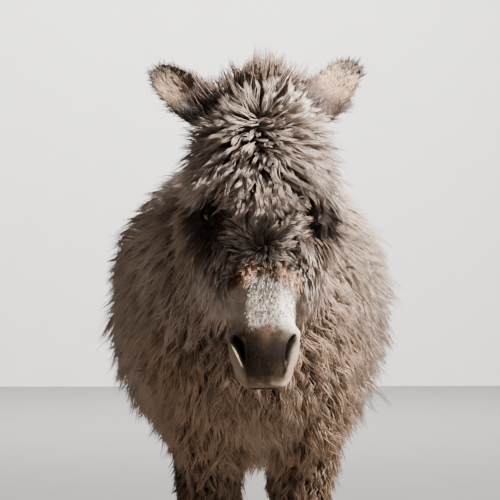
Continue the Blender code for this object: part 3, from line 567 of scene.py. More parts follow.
def ear_leaf(side):
    """A cupped leaf: rows from root to tip, columns from rim over the back to the other rim."""
    along, opening, across = ear_axes(side)
    root = on_side(EAR_ROOT, side)
    rows = between(EAR_LEAF, 5)
    last, columns = len(rows) - 1, 25
    points, places = [], []
    for inner in (False, True):
        for share, width, depth in rows:
            wall = 0.004 * (1.0 - 0.5 * share) if inner else 0.0
            curl = math.radians(124.0 - 70.0 * share)
            bend = -0.012 * share * share
            centre = root + along * (EAR_LENGTH * share - 0.012 * (1.0 - share)) + opening * bend
            for c in range(columns):
                part = 2.0 * c / (columns - 1) - 1.0
                turn = part * curl
                edge = 1.0 - wall / max(width, 0.006) * (1.0 - abs(part) ** 6)
                x = width * math.sin(turn) / math.sin(min(curl, math.pi / 2.0)) * edge
                y = -depth * math.cos(turn) * edge
                points.append(centre + across * x + opening * y)
                places.append((share, part, float(inner)))
    count = len(points) // 2
    faces = []
    for r in range(last):
        for c in range(columns - 1):
            a = r * columns + c
            faces.append((a, a + 1, a + columns + 1, a + columns))
            faces.append((count + a, count + a + columns, count + a + columns + 1, count + a + 1))
    edges = [(r * columns + c, (r + 1) * columns + c) for r in range(last) for c in (0, columns - 1)]
    edges += [(r * columns + c, r * columns + c + 1) for r in (0, last) for c in range(columns - 1)]
    faces += [(a, b, count + b, count + a) for a, b in edges]
    leaf = mesh_object(sided("ear_skin", side), points, faces)
    keep_places(leaf.data, "leaf_place", places)
    return faced_out(leaf)


class Hide:
    """The triangles of a skin, to plant hair on."""

    def __init__(self, mesh):
        mesh.calc_loop_triangles()
        self.corners = read_rows(mesh.loop_triangles, "vertices", np.int32)
        self.points = read_rows(mesh.vertices, "co")
        self.normals = read_rows(mesh.vertices, "normal")
        a, b, c = (self.points[self.corners[:, k]] for k in range(3))
        self.areas = np.linalg.norm(np.cross(b - a, c - a), axis=1) / 2.0
        self.middles = (a + b + c) / 3.0

    def plant(self, density, draw):
        """Roots and the skin's normals there. The density is in hairs a square metre at each triangle."""
        expected = self.areas * density
        count = int(expected.sum())
        chosen = draw.choice(len(expected), size=count, p=expected / expected.sum())
        first, second = draw.random(count), draw.random(count)
        over = first + second > 1.0
        first[over], second[over] = 1.0 - first[over], 1.0 - second[over]
        self.share = np.stack((1.0 - first - second, first, second), axis=1)[:, :, None]
        self.chosen = self.corners[chosen]
        return self.read(self.points), unit(self.read(self.normals))

    def read(self, values):
        """The values of the skin's points at the roots planted last."""
        return (values[self.chosen] * self.share).sum(axis=1)


def on_skin(directions, normals):
    """The directions laid along the skin."""
    return unit(directions - normals * (directions * normals).sum(axis=1, keepdims=True))


def head_share(points):
    """1 on the head and 0 behind the line from its nape to its throat."""
    height = points[:, 2] - THROAT[1]
    lean = np.where(height > 0.0, *THROAT_LEAN)
    return ramp(THROAT[0] - lean * height - points[:, 1], -0.03, 0.03)


def tail_share(points):
    return ramp(points[:, 1] - WITHERS_Y, 0.715, 0.76) * fall(np.abs(points[:, 0]), 0.04, 0.06)


def leg_middle(points):
    """How far to the left the middle of the nearest leg is."""
    left = points[:, 0] > 0.0
    fore = np.where(left, FORE_ASIDE + FORE_STEP[1], -FORE_ASIDE + FORE_STEP[-1])
    return np.where(points[:, 1] < behind(LEGS_PART), fore, np.where(left, HIND_ASIDE, -HIND_ASIDE))


def leg_share(points):
    aside = points[:, 0] - leg_middle(points)
    fore, hind = (np.hypot(aside, (points[:, 1] - behind(back)) * 0.8) for back in (FORE_BEHIND, HIND_BEHIND))
    near = fall(np.minimum(fore, hind), 0.07, 0.115)
    low = fall(points[:, 2], 0.43, 0.56)
    return low * np.maximum(near, fall(points[:, 2], 0.4, 0.44)) * (1.0 - tail_share(points))


def eye_distance(points):
    """Distance to the middle of the nearer eye, and how far inside its opening the point is."""
    aways, openings = [], []
    for side in (1, -1):
        along, over, height = eye_reach(points, side)
        aways.append(np.sqrt(along**2 + over**2 + height**2))
        openings.append(np.hypot(along / EYE_OPENING[0], over / EYE_OPENING[1]))
    return np.minimum(*aways), np.where(aways[1] < aways[0], openings[1], openings[0])


def hollow_distance(points):
    """How far each point is from the short-haired hollow round the nearer eye, 1 at its edge."""
    aways = []
    for side in (1, -1):
        offset = points - on_side(EYE, side) - DOWN * 0.006 - OUT * 0.014 + ACROSS * (side * 0.01)
        down, out, across = offset @ DOWN / 0.05, offset @ OUT / 0.04, offset[:, 0] / 0.027
        aways.append(np.sqrt(down**2 + out**2 + across**2))
    return np.minimum(*aways)


def nostril_distance(points):
    """Distance to the line of the nearer nostril."""
    aways = []
    for side in (1, -1):
        top, foot = nostril_ends(side)
        run = foot - top
        share = np.clip(((points - top) @ run) / (run @ run), 0.0, 1.0)
        aways.append(np.linalg.norm(points - top - share[:, None] * run, axis=1))
    return np.minimum(*aways)


def hair_density(points):
    """Wisps a square metre."""
    down = head_places(points)[0]
    head = head_share(points)
    body = BODY_WISPS + CHEST_WISPS * fall(points[:, 1], behind(-0.1), behind(0.3))
    density = blend(body, LEG_WISPS, leg_share(points)) + tail_share(points) * TAIL_WISPS
    density = blend(density, blend(HEAD_WISPS, MUZZLE_WISPS, ramp(down, 0.256, 0.292)), head)
    away, opening = eye_distance(points)
    density = density * (1.0 + 1.2 * fall(away, 0.024, 0.045)) * ramp(opening, 1.15, 1.3)
    density = density * np.where(head > 0.5, ramp(nostril_distance(points), 0.0085, 0.011), 1.0)
    at_mouth = (down > MOUTH_CORNER[0] - 0.005) & (head > 0.5)
    density = density * np.where(at_mouth, ramp(np.abs(lip_gap(points)), 0.004, 0.0062), 1.0)
    return density * ramp(points[:, 2], 0.046, 0.052)


def lie_of_head(points, side):
    """The hair spreads from the crown and the whorl, and runs down the cheeks and over the muzzle."""
    down, out, across = head_places(points)
    wide = np.abs(across)
    lie = points - on_head(CROWN_DOWN, -0.01)
    near_crown = bell(np.linalg.norm(lie, axis=1), 0.0, 0.034)[:, None]
    lie = unit(lie) * (1.0 - 0.5 * near_crown) + (DOWN + ACROSS * 0.4) * (0.8 * near_crown)
    low = ramp(down, MEETING_DOWN - 0.03, MEETING_DOWN + 0.03)
    lie = led(lie, unit(points - on_head(WHORL_DOWN, -0.01)), low)
    beside = ramp(wide, 0.038, 0.052) * ramp(down, 0.16, 0.185)
    lie = led(lie, DOWN + ACROSS * (side * 0.15)[:, None], beside)
    cheek = ramp(wide, 0.045, 0.08) * ramp(-out, 0.05, 0.11)
    lie = led(lie, DOWN * 0.85 - OUT * 0.42, cheek)
    lie = led(lie, DOWN + ACROSS * (side * 0.35)[:, None] - OUT * 0.1, ramp(down, 0.25, 0.278))
    for eye_side in (1, -1):
        from_eye = points - on_side(EYE, eye_side)
        close = fall(np.linalg.norm(from_eye, axis=1), 0.022, 0.042)
        lie = led(lie, unit(from_eye) + DOWN * 0.35 - OUT * 0.25, close)
    return lie


def coat_at(points, normals):
    """Each hair's lie, length, width, rise at root and tip, curl, gathering, droop and looseness."""
    down, out, across = head_places(points)
    wide = np.abs(across)
    head, leg, tail = head_share(points), leg_share(points), tail_share(points)
    side = np.tanh(points[:, 0] / 0.03)
    top = ramp(normals[:, 2], 0.2, 0.9)
    chest = ramp(-normals[:, 1], 0.3, 0.85) * fall(points[:, 1], behind(-0.1), behind(0.05))
    lie = np.stack((0.75 * side * top, np.full(len(points), 0.5), np.full(len(points), -1.0)), axis=1)
    for backward, share in ((0.05, chest), (0.12, leg), (0.1, tail)):
        lie = led(lie, (0.0, backward, -1.0), share)
    lie = on_skin(led(lie, lie_of_head(points, side), head), normals)
    sway = 0.32 * drift(points, 0.16, 3) + 0.22 * drift(points, 0.06, 4)
    lie = swung(lie, normals, sway * (1.0 - 0.6 * head))

    # Places on the head and legs where the coat changes
    shank = ramp(-points[:, 2], -0.42, -0.22)
    brow = ramp(wide, 0.03, 0.062) * fall(down, 0.115, 0.15) * ramp(down, 0.02, 0.06)
    brow = brow * ramp(out, -0.13, -0.07)
    temple = ramp(wide, 0.036, 0.072) * fall(down, 0.085, 0.125) * ramp(down, 0.0, 0.03)
    temples = ramp(wide, 0.045, 0.075) * fall(down, 0.13, 0.17) * ramp(down, 0.005, 0.035)
    topmost = fall(down, 0.005, 0.05) * ramp(out, -0.06, -0.03)
    brow_edge = ramp(down, 0.062, 0.095) * ramp(wide, 0.028, 0.042) * ramp(out, -0.11, -0.07)
    brow_edge = brow_edge * fall(np.abs(normals[:, 0]), 0.72, 0.92)
    by_ear = on_head(-0.016, -0.04, 0.062)
    from_ear = np.linalg.norm(np.abs(points) * (1.0, -1.0, 1.0) - by_ear, axis=1)
    from_crown = np.linalg.norm(points - on_head(CROWN_DOWN, 0.01), axis=1)
    bridge = fall(wide, 0.036, 0.052) * ramp(down, 0.13, 0.165)
    band = ramp(down, 0.198, 0.226) * ramp(out, -0.07, -0.035)
    matted = bell(down, 0.248, 0.013) * ramp(out, -0.06, -0.03)
    muzzle, velvet = ramp(down, 0.25, 0.284), ramp(down, 0.33, 0.37)
    hollow = hollow_distance(points)
    close = fall(hollow, 0.85, 1.35)

    length = blend(0.08 + 0.004 * chest - 0.012 * top, 0.046 - 0.024 * shank, leg)
    length = blend(length, 0.021, tail)
    face = 0.07 + 0.01 * brow + 0.014 * temple - 0.01 * topmost + 0.017 * temples
    face = face * (1.0 - 0.5 * fall(from_ear, 0.026, 0.052)) * (1.0 - 0.38 * brow_edge)
    face = blend(blend(face, 0.034, bridge), 0.021, band)
    face = blend(face - 0.006 * matted, 0.009, muzzle) - 0.0035 * velvet
    face = np.minimum(face, 0.008 + 0.056 * ramp(hollow, 0.88, 1.3))
    length = blend(length, face, head) * (1.0 + 0.13 * drift(points, 0.09, 5))

    width = blend(blend(0.0028, 0.0024, leg), blend(0.0021, 0.0011, muzzle), head)
    width = width * (1.0 - 0.35 * np.maximum(band, bridge) * (1.0 - muzzle))
    width = np.where(hollow < 1.4, np.minimum(width, 0.0013 + 0.0018 * np.maximum(hollow - 0.7, 0.0)), width)

    rise = 60.0 - 12.0 * leg - 22.0 * leg * shank - 30.0 * tail
    rise = blend(rise, blend(64.0 - 4.0 * brow, 26.0 - 10.0 * velvet, muzzle), head)
    upright = 18.0 + 24.0 * temples + 20.0 * brow_edge * fall(down, 0.12, 0.15) + 10.0 * bridge
    upright = upright + np.maximum(34.0 * topmost, 46.0 * fall(from_crown, 0.008, 0.05))
    rest = blend(20.0 - 6.0 * leg - 8.0 * tail, blend(upright, 10.0 - 4.0 * velvet, muzzle), head)
    ripple = 9.0 * drift(points, 0.07, 6)
    curl = 0.2 * (1.0 - muzzle) * (1.0 - 0.7 * close) + 0.5 * matted
    return {
        "lie": lie,
        "length": length,
        "width": width,
        "rise": np.radians(np.clip(blend(rise, 26.0, close) + ripple, 4.0, 88.0)),
        "rest": np.radians(blend(rest, 10.0, close) + ripple),
        "curl": blend(0.24 + 0.18 * chest, curl, head),
        "gather": blend(0.68, blend(0.8 - 0.22 * bridge, 0.25, muzzle), head),
        "hang": blend(0.3, (0.06 + 0.3 * brow) * (1.0 - muzzle), head),
        "blunt": blend(0.35, 0.55 * (1.0 - muzzle), head),
        "loose": 1.0 - 0.55 * head,
    }


def plain_coat(lie, length, width, curl, gather, hang=0.0, rise=0.0, rest=0.0, loose=1.0):
    """The coat of a piece whose hairs differ only in their lie and length, and some in their rise."""
    values = {"width": width, "curl": curl, "gather": gather, "hang": hang, "rise": rise, "rest": rest}
    coat = {name: np.full(len(lie), value) for name, value in values.items()}
    return coat | {"lie": lie, "length": length, "loose": loose, "blunt": np.zeros(len(lie))}


def grown(roots, normals, coat, clumps, steps, draw):
    """Paths of hairs that lie in this many clumps, whose tips draw together, and the tones of each."""
    count = len(roots)
    centres = draw.choice(count, size=min(max(clumps, 1), count), replace=False)
    tree = KDTree(len(centres))
    for place, index in enumerate(centres):
        tree.insert(roots[index], place)
    tree.balance()
    member = np.array([tree.find(root)[1] for root in roots])
    clump_turn = draw.normal(0.0, 0.3, len(centres))
    clump_lift = draw.normal(0.0, 0.16, len(centres))
    clump_size = draw.uniform(0.78, 1.18, len(centres))
    clump_phase = draw.uniform(0.0, FULL_TURN, len(centres))
    clump_tone = draw.random(len(centres))
    turn = (clump_turn[member] + draw.normal(0.0, 0.16, count)) * coat["loose"]
    lift = (clump_lift[member] + draw.normal(0.0, 0.1, count)) * coat["loose"]
    size = clump_size[member] * draw.uniform(0.82, 1.12, count)
    phase = clump_phase[member] + draw.normal(0.0, 0.35, count)
    lie = swung(coat["lie"], normals, turn)
    beside = np.cross(normals, lie)
    length = coat["length"] * size
    wave = coat["curl"] * 1.7
    place = roots - normals * ROOT_DEPTH
    paths = [place]
    for step in range(1, steps + 1):
        share = (step - 0.5) / steps
        angle = coat["rise"] + (coat["rest"] - coat["rise"]) * share**0.8 + lift * share
        way = lie * np.cos(angle)[:, None] + normals * np.sin(angle)[:, None]
        way = way + beside * (wave * np.cos(phase + CURL_TURN * share))[:, None]
        way = way + normals * (0.6 * wave * np.sin(phase + CURL_TURN * share) * share)[:, None]
        way = way - UP * (coat["hang"] * share)[:, None]
        place = place + unit(way) * (length / steps)[:, None]
        paths.append(place)
    paths = np.stack(paths, axis=1)
    away = np.linalg.norm(roots - roots[centres][member], axis=1)
    along = (np.arange(steps + 1) / steps)[None, :]
    pull = coat["gather"][:, None] * along ** (1.25 - 0.75 * coat["blunt"])[:, None]
    pull = pull * fall(away, 0.015, 0.025)[:, None]
    paths = paths + (paths[centres][member] - paths) * pull[:, :, None]
    return paths, np.stack((draw.random(count), clump_tone[member]), axis=1)


def wisps(name, paths, normals, widths, tones, places, taper=0.75):
    """A mesh of closed tapered three-sided hairs. Places are where their roots are on the skin's unwrap."""
    count, rows = paths.shape[0], paths.shape[1] - 1
    size = rows * 3 + 1
    along = np.empty_like(paths)
    along[:, 1:-1] = paths[:, 2:] - paths[:, :-2]
    along[:, 0] = paths[:, 1] - paths[:, 0]
    along[:, -1] = paths[:, -1] - paths[:, -2]
    along = unit(along)
    over = normals[:, None, :] + along * 0.001
    across = unit(np.cross(np.broadcast_to(over, along.shape), along))
    over = np.cross(along, across)
    shares = np.arange(rows) / rows
    half = widths[:, None] * 0.5 * (1.0 - shares[None, :] ** 1.6 * taper)
    points = np.empty((count, size, 3))
    for corner in range(3):
        angle = math.radians(90.0 + 120.0 * corner)
        offset = across[:, :rows] * math.cos(angle) + over[:, :rows] * (math.sin(angle) * FLATNESS)
        points[:, corner : rows * 3 : 3] = paths[:, :rows] + offset * half[:, :, None]
    points[:, -1] = paths[:, -1]

    # Faces of one hair and the places of their corners in its patch
    faces, spots = [(2, 1, 0)], [((0.9, 0.02), (0.5, 0.0), (0.1, 0.02))]
    for row in range(rows):
        low, high = row / rows, (row + 1) / rows
        for corner in range(3):
            a, b = row * 3 + corner, row * 3 + (corner + 1) % 3
            left, right = corner / 3.0, (corner + 1) / 3.0
            at_tip = row == rows - 1
            faces.append((a, b, rows * 3) if at_tip else (a, b, b + 3, a + 3))
            ends = (((left + right) / 2.0, high),) if at_tip else ((right, high), (left, high))
            spots.append(((left, low), (right, low), *ends))
    template = np.array([corner for face in faces for corner in face])
    starts = np.cumsum([0] + [len(face) for face in faces])[:-1]
    hairs = np.arange(count)[:, None]
    mesh = bpy.data.meshes.new(name)
    mesh.vertices.add(count * size)
    mesh.vertices.foreach_set("co", points.ravel())
    mesh.loops.add(count * len(template))
    mesh.loops.foreach_set("vertex_index", (template + hairs * size).ravel().astype(np.int32))
    mesh.polygons.add(count * len(starts))
    mesh.polygons.foreach_set("loop_start", (starts + hairs * len(template)).ravel().astype(np.int32))
    mesh.update(calc_edges=True)
    mesh.shade_smooth()
    spot = np.array([pair for face in spots for pair in face]) - 0.5
    unwrapped = (places[:, None, :] + spot[None, :, :] * PATCH).reshape(-1)
    mesh.uv_layers.new(name="OFBake").data.foreach_set("uv", unwrapped)
    colour = np.ones((count, size, 4))
    colour[:, :, 0] = np.append(np.repeat(shares, 3), 1.0)
    colour[:, :, 1:3] = tones[:, None, :]
    mesh.color_attributes.new("wisp", "FLOAT_COLOR", "POINT").data.foreach_set("color", colour.ravel())
    keep_places(mesh, "root_place", np.repeat(paths[:, 0], size, axis=0))
    return placed(name, mesh)


def on_unwrap(turn, length):
    """Places on an unwrap, kept off its edge."""
    return np.clip(np.stack((turn, length), axis=1), 0.004, 0.996)


def unwrap_of(points, region):
    """The place of each root on an unwrap of its own part of the skin."""
    down, out, across = head_places(points)
    hind = points[:, 1] > behind(LEGS_PART)
    if region == "head":
        x, y = across, out + HEAD_MIDDLE
        length = (down + 0.08) / 0.56
    elif region == "leg":
        x = across - leg_middle(points)
        y = points[:, 1] - behind(np.where(hind, HOCK_BEHIND, FORE_BEHIND))
        length = points[:, 2] / 0.62
    else:
        x, y = across, BODY_MIDDLE_Z - points[:, 2]
        length = (points[:, 1] - behind(-0.42)) / 1.3
    turn = np.arctan2(x, y) / FULL_TURN + 0.5
    if region == "leg":
        turn = (hind * 2.0 + (across > 0.0) + 0.02 + 0.96 * turn) / 4.0
    return on_unwrap(turn, length)


def piece_of(name, roots, normals, coat, region, draw, members, steps, taper=0.75):
    """A piece of coat whose hairs have this many steps, and this many share a clump."""
    paths, tones = grown(roots, normals, coat, len(roots) // members, steps, draw)
    return wisps(name, paths, normals, coat["width"], tones, unwrap_of(roots, region), taper)


class Sheet:
    """Short calls that add the nodes of one material or group and join them."""

    def __init__(self, tree):
        self.tree = tree

    def add(self, kind, **settings):
        node = self.tree.nodes.new(kind)
        for name, value in settings.items():
            setattr(node, name, value)
        return node

    def put(self, socket, value):
        if isinstance(value, bpy.types.NodeSocket):
            self.tree.links.new(value, socket)
        elif isinstance(value, (float, int)):
            socket.default_value = value
        else:
            value = tuple(float(v) for v in value)
            socket.default_value = value if len(socket.default_value) == len(value) else value + (1.0,)

    def fill(self, node, **values):
        for name, value in values.items():
            self.put(node.inputs[name.replace("_", " ")], value)
        return node

    def sum(self, operation, *values):
        node = self.add("ShaderNodeMath", operation=operation)
        for socket, value in zip(node.inputs, values):
            self.put(socket, value)
        return node.outputs[0]

    def times(self, first, *others):
        for other in others:
            first = self.sum("MULTIPLY", first, other)
        return first

    def apart(self, *steps):
        """The straight distance over two steps at right angles."""
        return self.sum("SQRT", self.sum("ADD", *[self.sum("POWER", step, 2.0) for step in steps]))

    def step(self, value, low, high, first=0.0, last=1.0):
        """A smooth change from first to last as the value goes from low to high."""
        node = self.add("ShaderNodeMapRange", interpolation_type="SMOOTHSTEP")
        for socket, number in zip(node.inputs, (value, low, high, first, last)):
            self.put(socket, number)
        return node.outputs[0]

    def hump(self, value, centre, reach):
        """1 where the value is at the centre, and 0 from this reach away."""
        return self.step(self.sum("ABSOLUTE", self.sum("SUBTRACT", value, centre)), 0.0, reach, 1.0, 0.0)

    def vectors(self, operation, first, second):
        """A number made of two vectors."""
        node = self.add("ShaderNodeVectorMath", operation=operation)
        self.put(node.inputs[0], first)
        self.put(node.inputs[1], second)
        return node.outputs["Value"]

    def dot(self, place, way, offset=0.0):
        return self.sum("ADD", self.vectors("DOT_PRODUCT", place, way), offset)

    def mix(self, share, first, second, way="MIX"):
        node = self.add("ShaderNodeMix", data_type="RGBA", blend_type=way)
        inputs = {socket.identifier: socket for socket in node.inputs}
        self.put(node.inputs["Factor"], share)
        self.put(inputs["A_Color"], first)
        self.put(inputs["B_Color"], second)
        return [socket for socket in node.outputs if socket.identifier == "Result_Color"][0]

    def painted(self, colour, *layers):
        """The colour under layers of paint, each given by its share, its tone and the masks that bound it."""
        for share, paint, *masks in layers:
            colour = self.mix(self.times(*masks, share), colour, paint)
        return colour

    def noise(self, place, scale, detail=2.0):
        node = self.add("ShaderNodeTexNoise")
        return self.fill(node, Vector=place, Scale=scale, Detail=detail, Roughness=0.5).outputs["Fac"]

    def split(self, value, kind="ShaderNodeSeparateXYZ"):
        node = self.add(kind)
        self.put(node.inputs[0], value)
        return node.outputs

    def place(self):
        return self.add("ShaderNodeTexCoord").outputs["Object"]

    def own(self, name, output="Vector"):
        """What the piece's own attribute of this name holds."""
        return self.add("ShaderNodeAttribute", attribute_name=name).outputs[output]

    def group(self, tree, **values):
        node = self.add("ShaderNodeGroup")
        node.node_tree = tree
        return self.fill(node, **values)

    def bump(self, shader, height, strength, distance):
        node = self.fill(self.add("ShaderNodeBump"), Height=height, Strength=strength, Distance=distance)
        self.put(shader.inputs["Normal"], node.outputs[0])


def new_group(name, inputs, outputs):
    """A shader node group with its sheet, what it is given and what it puts out."""
    tree = bpy.data.node_groups.new(name, "ShaderNodeTree")
    for way, sockets in (("INPUT", inputs), ("OUTPUT", outputs)):
        for label, kind in sockets.items():
            tree.interface.new_socket(name=label, in_out=way, socket_type="NodeSocket" + kind)
    sheet = Sheet(tree)
    return tree, sheet, sheet.add("NodeGroupInput").outputs, sheet.add("NodeGroupOutput").inputs


def coat_markings():
    """The colours of the coat and skin by where they are on the animal, with painted shade beside the nose
    bridge, round the eyes and on the muzzle's right and edges.
    """
    tree, s, given, result = new_group("coat_markings", {"Place": "Vector"}, {"Color": "Color"})
    step, hump, place = s.step, s.hump, given["Place"]
    mottle = step(s.noise(place, 9.0, 3.0), 0.35, 0.7)
    edge = s.times(s.sum("SUBTRACT", s.noise(place, 45.0), 0.5), 0.03)
    down = s.sum("ADD", s.dot(place, DOWN, -float(POLL @ DOWN)), edge)
    out = s.sum("ADD", s.dot(place, OUT, -float(POLL @ OUT)), s.times(edge, 0.6))
    leftward = s.dot(place, ACROSS)
    across = s.sum("ABSOLUTE", leftward)
    height = s.sum("ADD", s.dot(place, UP), edge)
    back = s.dot(place, BACK, -WITHERS_Y)

    # Belly, stripe along the back, chest, legs, feet and end of the tail
    colour = s.painted(
        s.mix(mottle, tone(152, 132, 118), tone(184, 166, 153)),
        (0.55, tone(150, 124, 101), step(height, 0.7, 0.46)),
        (0.55, tone(84, 66, 54), hump(across, 0.0, 0.03), step(height, 0.86, 0.92), step(back, -0.05, 0.05)),
        (0.65, tone(136, 110, 87), step(height, 0.8, 0.62), step(back, 0.02, -0.1)),
        (1.0, tone(96, 76, 61), step(height, 0.5, 0.34)),
        (1.0, tone(70, 57, 47), step(height, 0.2, 0.08)),
        (1.0, tone(70, 55, 44), step(back, 0.755, 0.775), step(height, 0.78, 0.62)),
    )

    # Middle of the face, cheek, whorl, tan band with its curls, painted shade beside the bridge and in the
    # brown hollow of the eye
    whorl_away = s.apart(s.sum("SUBTRACT", down, WHORL_DOWN), s.times(across, 1.15))
    arch = s.sum("SUBTRACT", down, s.times(s.sum("POWER", across, 2.0), 5.0))
    band = step(s.times(hump(arch, 0.255, 0.028), step(out, -0.05, -0.02)), 0.0, 0.7)
    curls = step(s.sum("MAXIMUM", hump(leftward, -0.022, 0.017), hump(leftward, 0.04, 0.026)), 0.0, 0.6)
    # Painted shade in the groove down each side of the nose bridge, where its hair meets the cheek's
    painted_groove_shade = s.times(hump(across, 0.052, 0.018), hump(down, 0.205, 0.06), step(out, -0.11, -0.07))
    hollow_down = s.sum("DIVIDE", s.sum("SUBTRACT", down, 0.158), 0.05)
    hollow_aside = s.sum("DIVIDE", s.sum("SUBTRACT", across, 0.069), 0.027)
    hollow = s.sum("POWER", s.apart(hollow_down, hollow_aside), 2.0)
    head = s.painted(
        s.mix(mottle, tone(150, 135, 126), tone(176, 162, 152)),
        (0.35, tone(100, 84, 74), step(across, 0.05, 0.01), step(down, 0.12, 0.18)),
        (0.1, tone(128, 106, 90), step(out, -0.04, -0.1), step(down, 0.18, 0.12)),
        (0.9, tone(44, 34, 29), step(whorl_away, 0.034, 0.008), step(out, -0.06, -0.03)),
        (1.0, tone(92, 68, 50), band, step(across, 0.066, 0.05)),
        (0.95, tone(202, 166, 136), band, curls),
        (0.8, tone(60, 46, 38), painted_groove_shade),
        # The hollow of each eye: short brown hair, painted darker still as the shade that the brow casts into
        # it
        (0.85, tone(78, 58, 44), step(hollow, 1.25, 0.55), step(out, -0.12, -0.085)),
    )
    # Round each eye: brown lids painted darker as the shade under the brow, and a darker rim of lid skin by
    # the ball
    for side in (1, -1):
        away = s.vectors("DISTANCE", place, on_side(EYE, side))
        lid = (0.7, tone(54, 41, 33), step(s.sum("ADD", away, edge), 0.04, 0.024))
        head = s.painted(head, lid, (0.85, tone(38, 29, 24), step(away, 0.0245, 0.0215)))

    # White muzzle with its flecks, painted shade on its right and its edges, dark nose, pale sides, lips,
    # brown stripe, cheeks of the nose and chin
    muzzle = step(arch, 0.258, 0.274)
    # Painted light and shade on the white: full on the front and left of the nose, shaded to tan grey on its
    # right and round its edges
    painted_lit = s.times(step(out, -0.085, -0.045), step(leftward, -0.026, -0.006, 0.35, 1.0))
    flecked = s.sum("ADD", s.times(hump(leftward, -0.002, 0.034), 0.9), 0.15)
    fleck = s.times(step(s.noise(place, 260.0), 0.44, 0.56, 0.0, 0.88), s.sum("MINIMUM", flecked, 1.0))
    dusk = s.sum("SUBTRACT", down, s.times(step(across, 0.01, 0.05), 0.006))
    on_front, at_lips = step(out, -0.078, -0.048), step(out, -0.07, -0.05)
    beside_nose = s.times(hump(across, 0.062, 0.016), step(down, 0.318, 0.34), step(out, -0.13, -0.07))
    nose_edge = s.sum("SUBTRACT", 0.046, s.times(s.sum("SUBTRACT", down, 0.35), 0.22))
    past_nose = step(s.sum("SUBTRACT", across, nose_edge), -0.006, 0.006)
    head = s.painted(
        head,
        (1.0, s.mix(painted_lit, tone(146, 126, 109), tone(222, 211, 201)), muzzle),
        (1.0, tone(84, 68, 57), muzzle, fleck),
        (1.0, tone(84, 66, 52), step(dusk, 0.316, 0.356), on_front),
        (1.0, tone(30, 21, 14), step(dusk, 0.338, 0.368), on_front),
        (0.85, tone(200, 180, 160), beside_nose),
        (0.55, tone(74, 59, 47), step(down, 0.386, 0.412), at_lips),
        (0.75, tone(128, 110, 93), step(down, 0.414, 0.428), at_lips),
        (0.28, tone(78, 60, 46), hump(across, 0.0, 0.014), hump(down, 0.362, 0.03)),
        (0.8, tone(164, 144, 124), past_nose, step(dusk, 0.352, 0.376)),
        (0.9, tone(124, 106, 90), step(down, 0.37, 0.4), step(out, -0.056, -0.068)),
    )
    at_head = s.times(step(down, -0.1, -0.04), step(out, -0.21, -0.15), step(back, -0.3, -0.37))
    s.put(result["Color"], s.mix(at_head, colour, head))
    return tree


def ear_markings():
    """Cream inside with a brown band low down, brown outside, and a dark rim and tip."""
    sockets = {"Leaf": "Vector", "Place": "Vector"}
    tree, s, given, result = new_group("ear_markings", sockets, {"Color": "Color"})
    along, part, inner = s.split(given["Leaf"])
    patch = s.noise(given["Place"], 38.0, 3.0)
    shifted = s.sum("ADD", along, s.times(s.sum("SUBTRACT", patch, 0.5), 0.16))
    outside = s.mix(s.step(patch, 0.35, 0.65), tone(134, 114, 100), tone(164, 145, 130))
    inside = s.painted(
        s.mix(s.step(patch, 0.3, 0.6), tone(156, 128, 102), tone(184, 158, 133)),
        (0.92, tone(134, 96, 64), s.step(shifted, 0.7, 0.56)),
        (0.92, tone(56, 42, 34), s.step(shifted, 0.56, 0.44)),
    )
    colour = s.painted(
        s.mix(inner, outside, inside),
        (0.75, tone(74, 55, 43), s.step(s.sum("ABSOLUTE", part), 0.72, 0.92), s.step(along, 0.1, 0.4)),
        (0.92, tone(66, 48, 37), s.step(shifted, 0.8, 0.92)),
    )
    s.put(result["Color"], colour)
    return tree


def wisp_tone():
    """Darkens a hair towards its root, for its darker undercoat and as painted shade between the hairs, and
    gives each hair and each clump its own tone.
    """
    sockets = {"Coat": "Color", "Deep": "Float", "Spread": "Float"}
    tree, s, given, result = new_group("wisp_tone", sockets, {"Color": "Color", "Roughness": "Float"})
    along, single, clump = s.split(s.own("wisp", "Color"), "ShaderNodeSeparateColor")
    # Darker undercoat and painted shade between the hairs: the colour falls to the given share at the root
    # and is full from three quarters up the hair
    light = s.step(along, 0.0, 0.75, given["Deep"], 1.0)
    vary = s.sum("ADD", s.times(single, 0.55), s.times(clump, 0.45))
    vary = s.times(s.sum("SUBTRACT", vary, 0.5), given["Spread"])
    tinted = s.mix(s.times(clump, 0.35), given["Coat"], tone(236, 205, 178), "MULTIPLY")
    scale = s.add("ShaderNodeVectorMath", operation="SCALE")
    s.put(scale.inputs[0], tinted)
    s.put(scale.inputs["Scale"], s.times(light, s.sum("ADD", vary, 1.0)))
    s.put(result["Color"], scale.outputs[0])
    s.put(result["Roughness"], s.step(single, 0.0, 1.0, 0.62, 0.84))
    return tree


def material(name, viewport):
    made = bpy.data.materials.new(name)
    made.use_nodes = True
    made.diffuse_color = (*viewport, 1.0)
    return made, Sheet(made.node_tree), made.node_tree.nodes["Principled BSDF"]


def marked(s, markings, place):
    """The colour of the markings at this place, and on an ear at the leaf's own places."""
    node = s.group(markings, Place=place)
    if "Leaf" in node.inputs:
        s.put(node.inputs["Leaf"], s.own("leaf_place"))
    return node.outputs["Color"]


def hair_material(name, markings, tones, root_dark_and_shade, spread, gloss=0.25, sheen=(0.06, 0.4), tint=None, share=0.0):
    """The finish of a piece of coat. A tint stands in for the markings by this share."""
    made, s, shader = material(name, tone(150, 133, 121))
    colour = marked(s, markings, s.own("root_place"))
    if tint is not None:
        colour = s.mix(share, colour, tint)
    strand = s.group(tones, Coat=colour, Deep=root_dark_and_shade, Spread=spread).outputs
    s.fill(shader, Base_Color=strand["Color"], Roughness=strand["Roughness"])
    s.fill(shader, Specular_IOR_Level=gloss, Sheen_Weight=sheen[0], Sheen_Roughness=sheen[1])
    return made


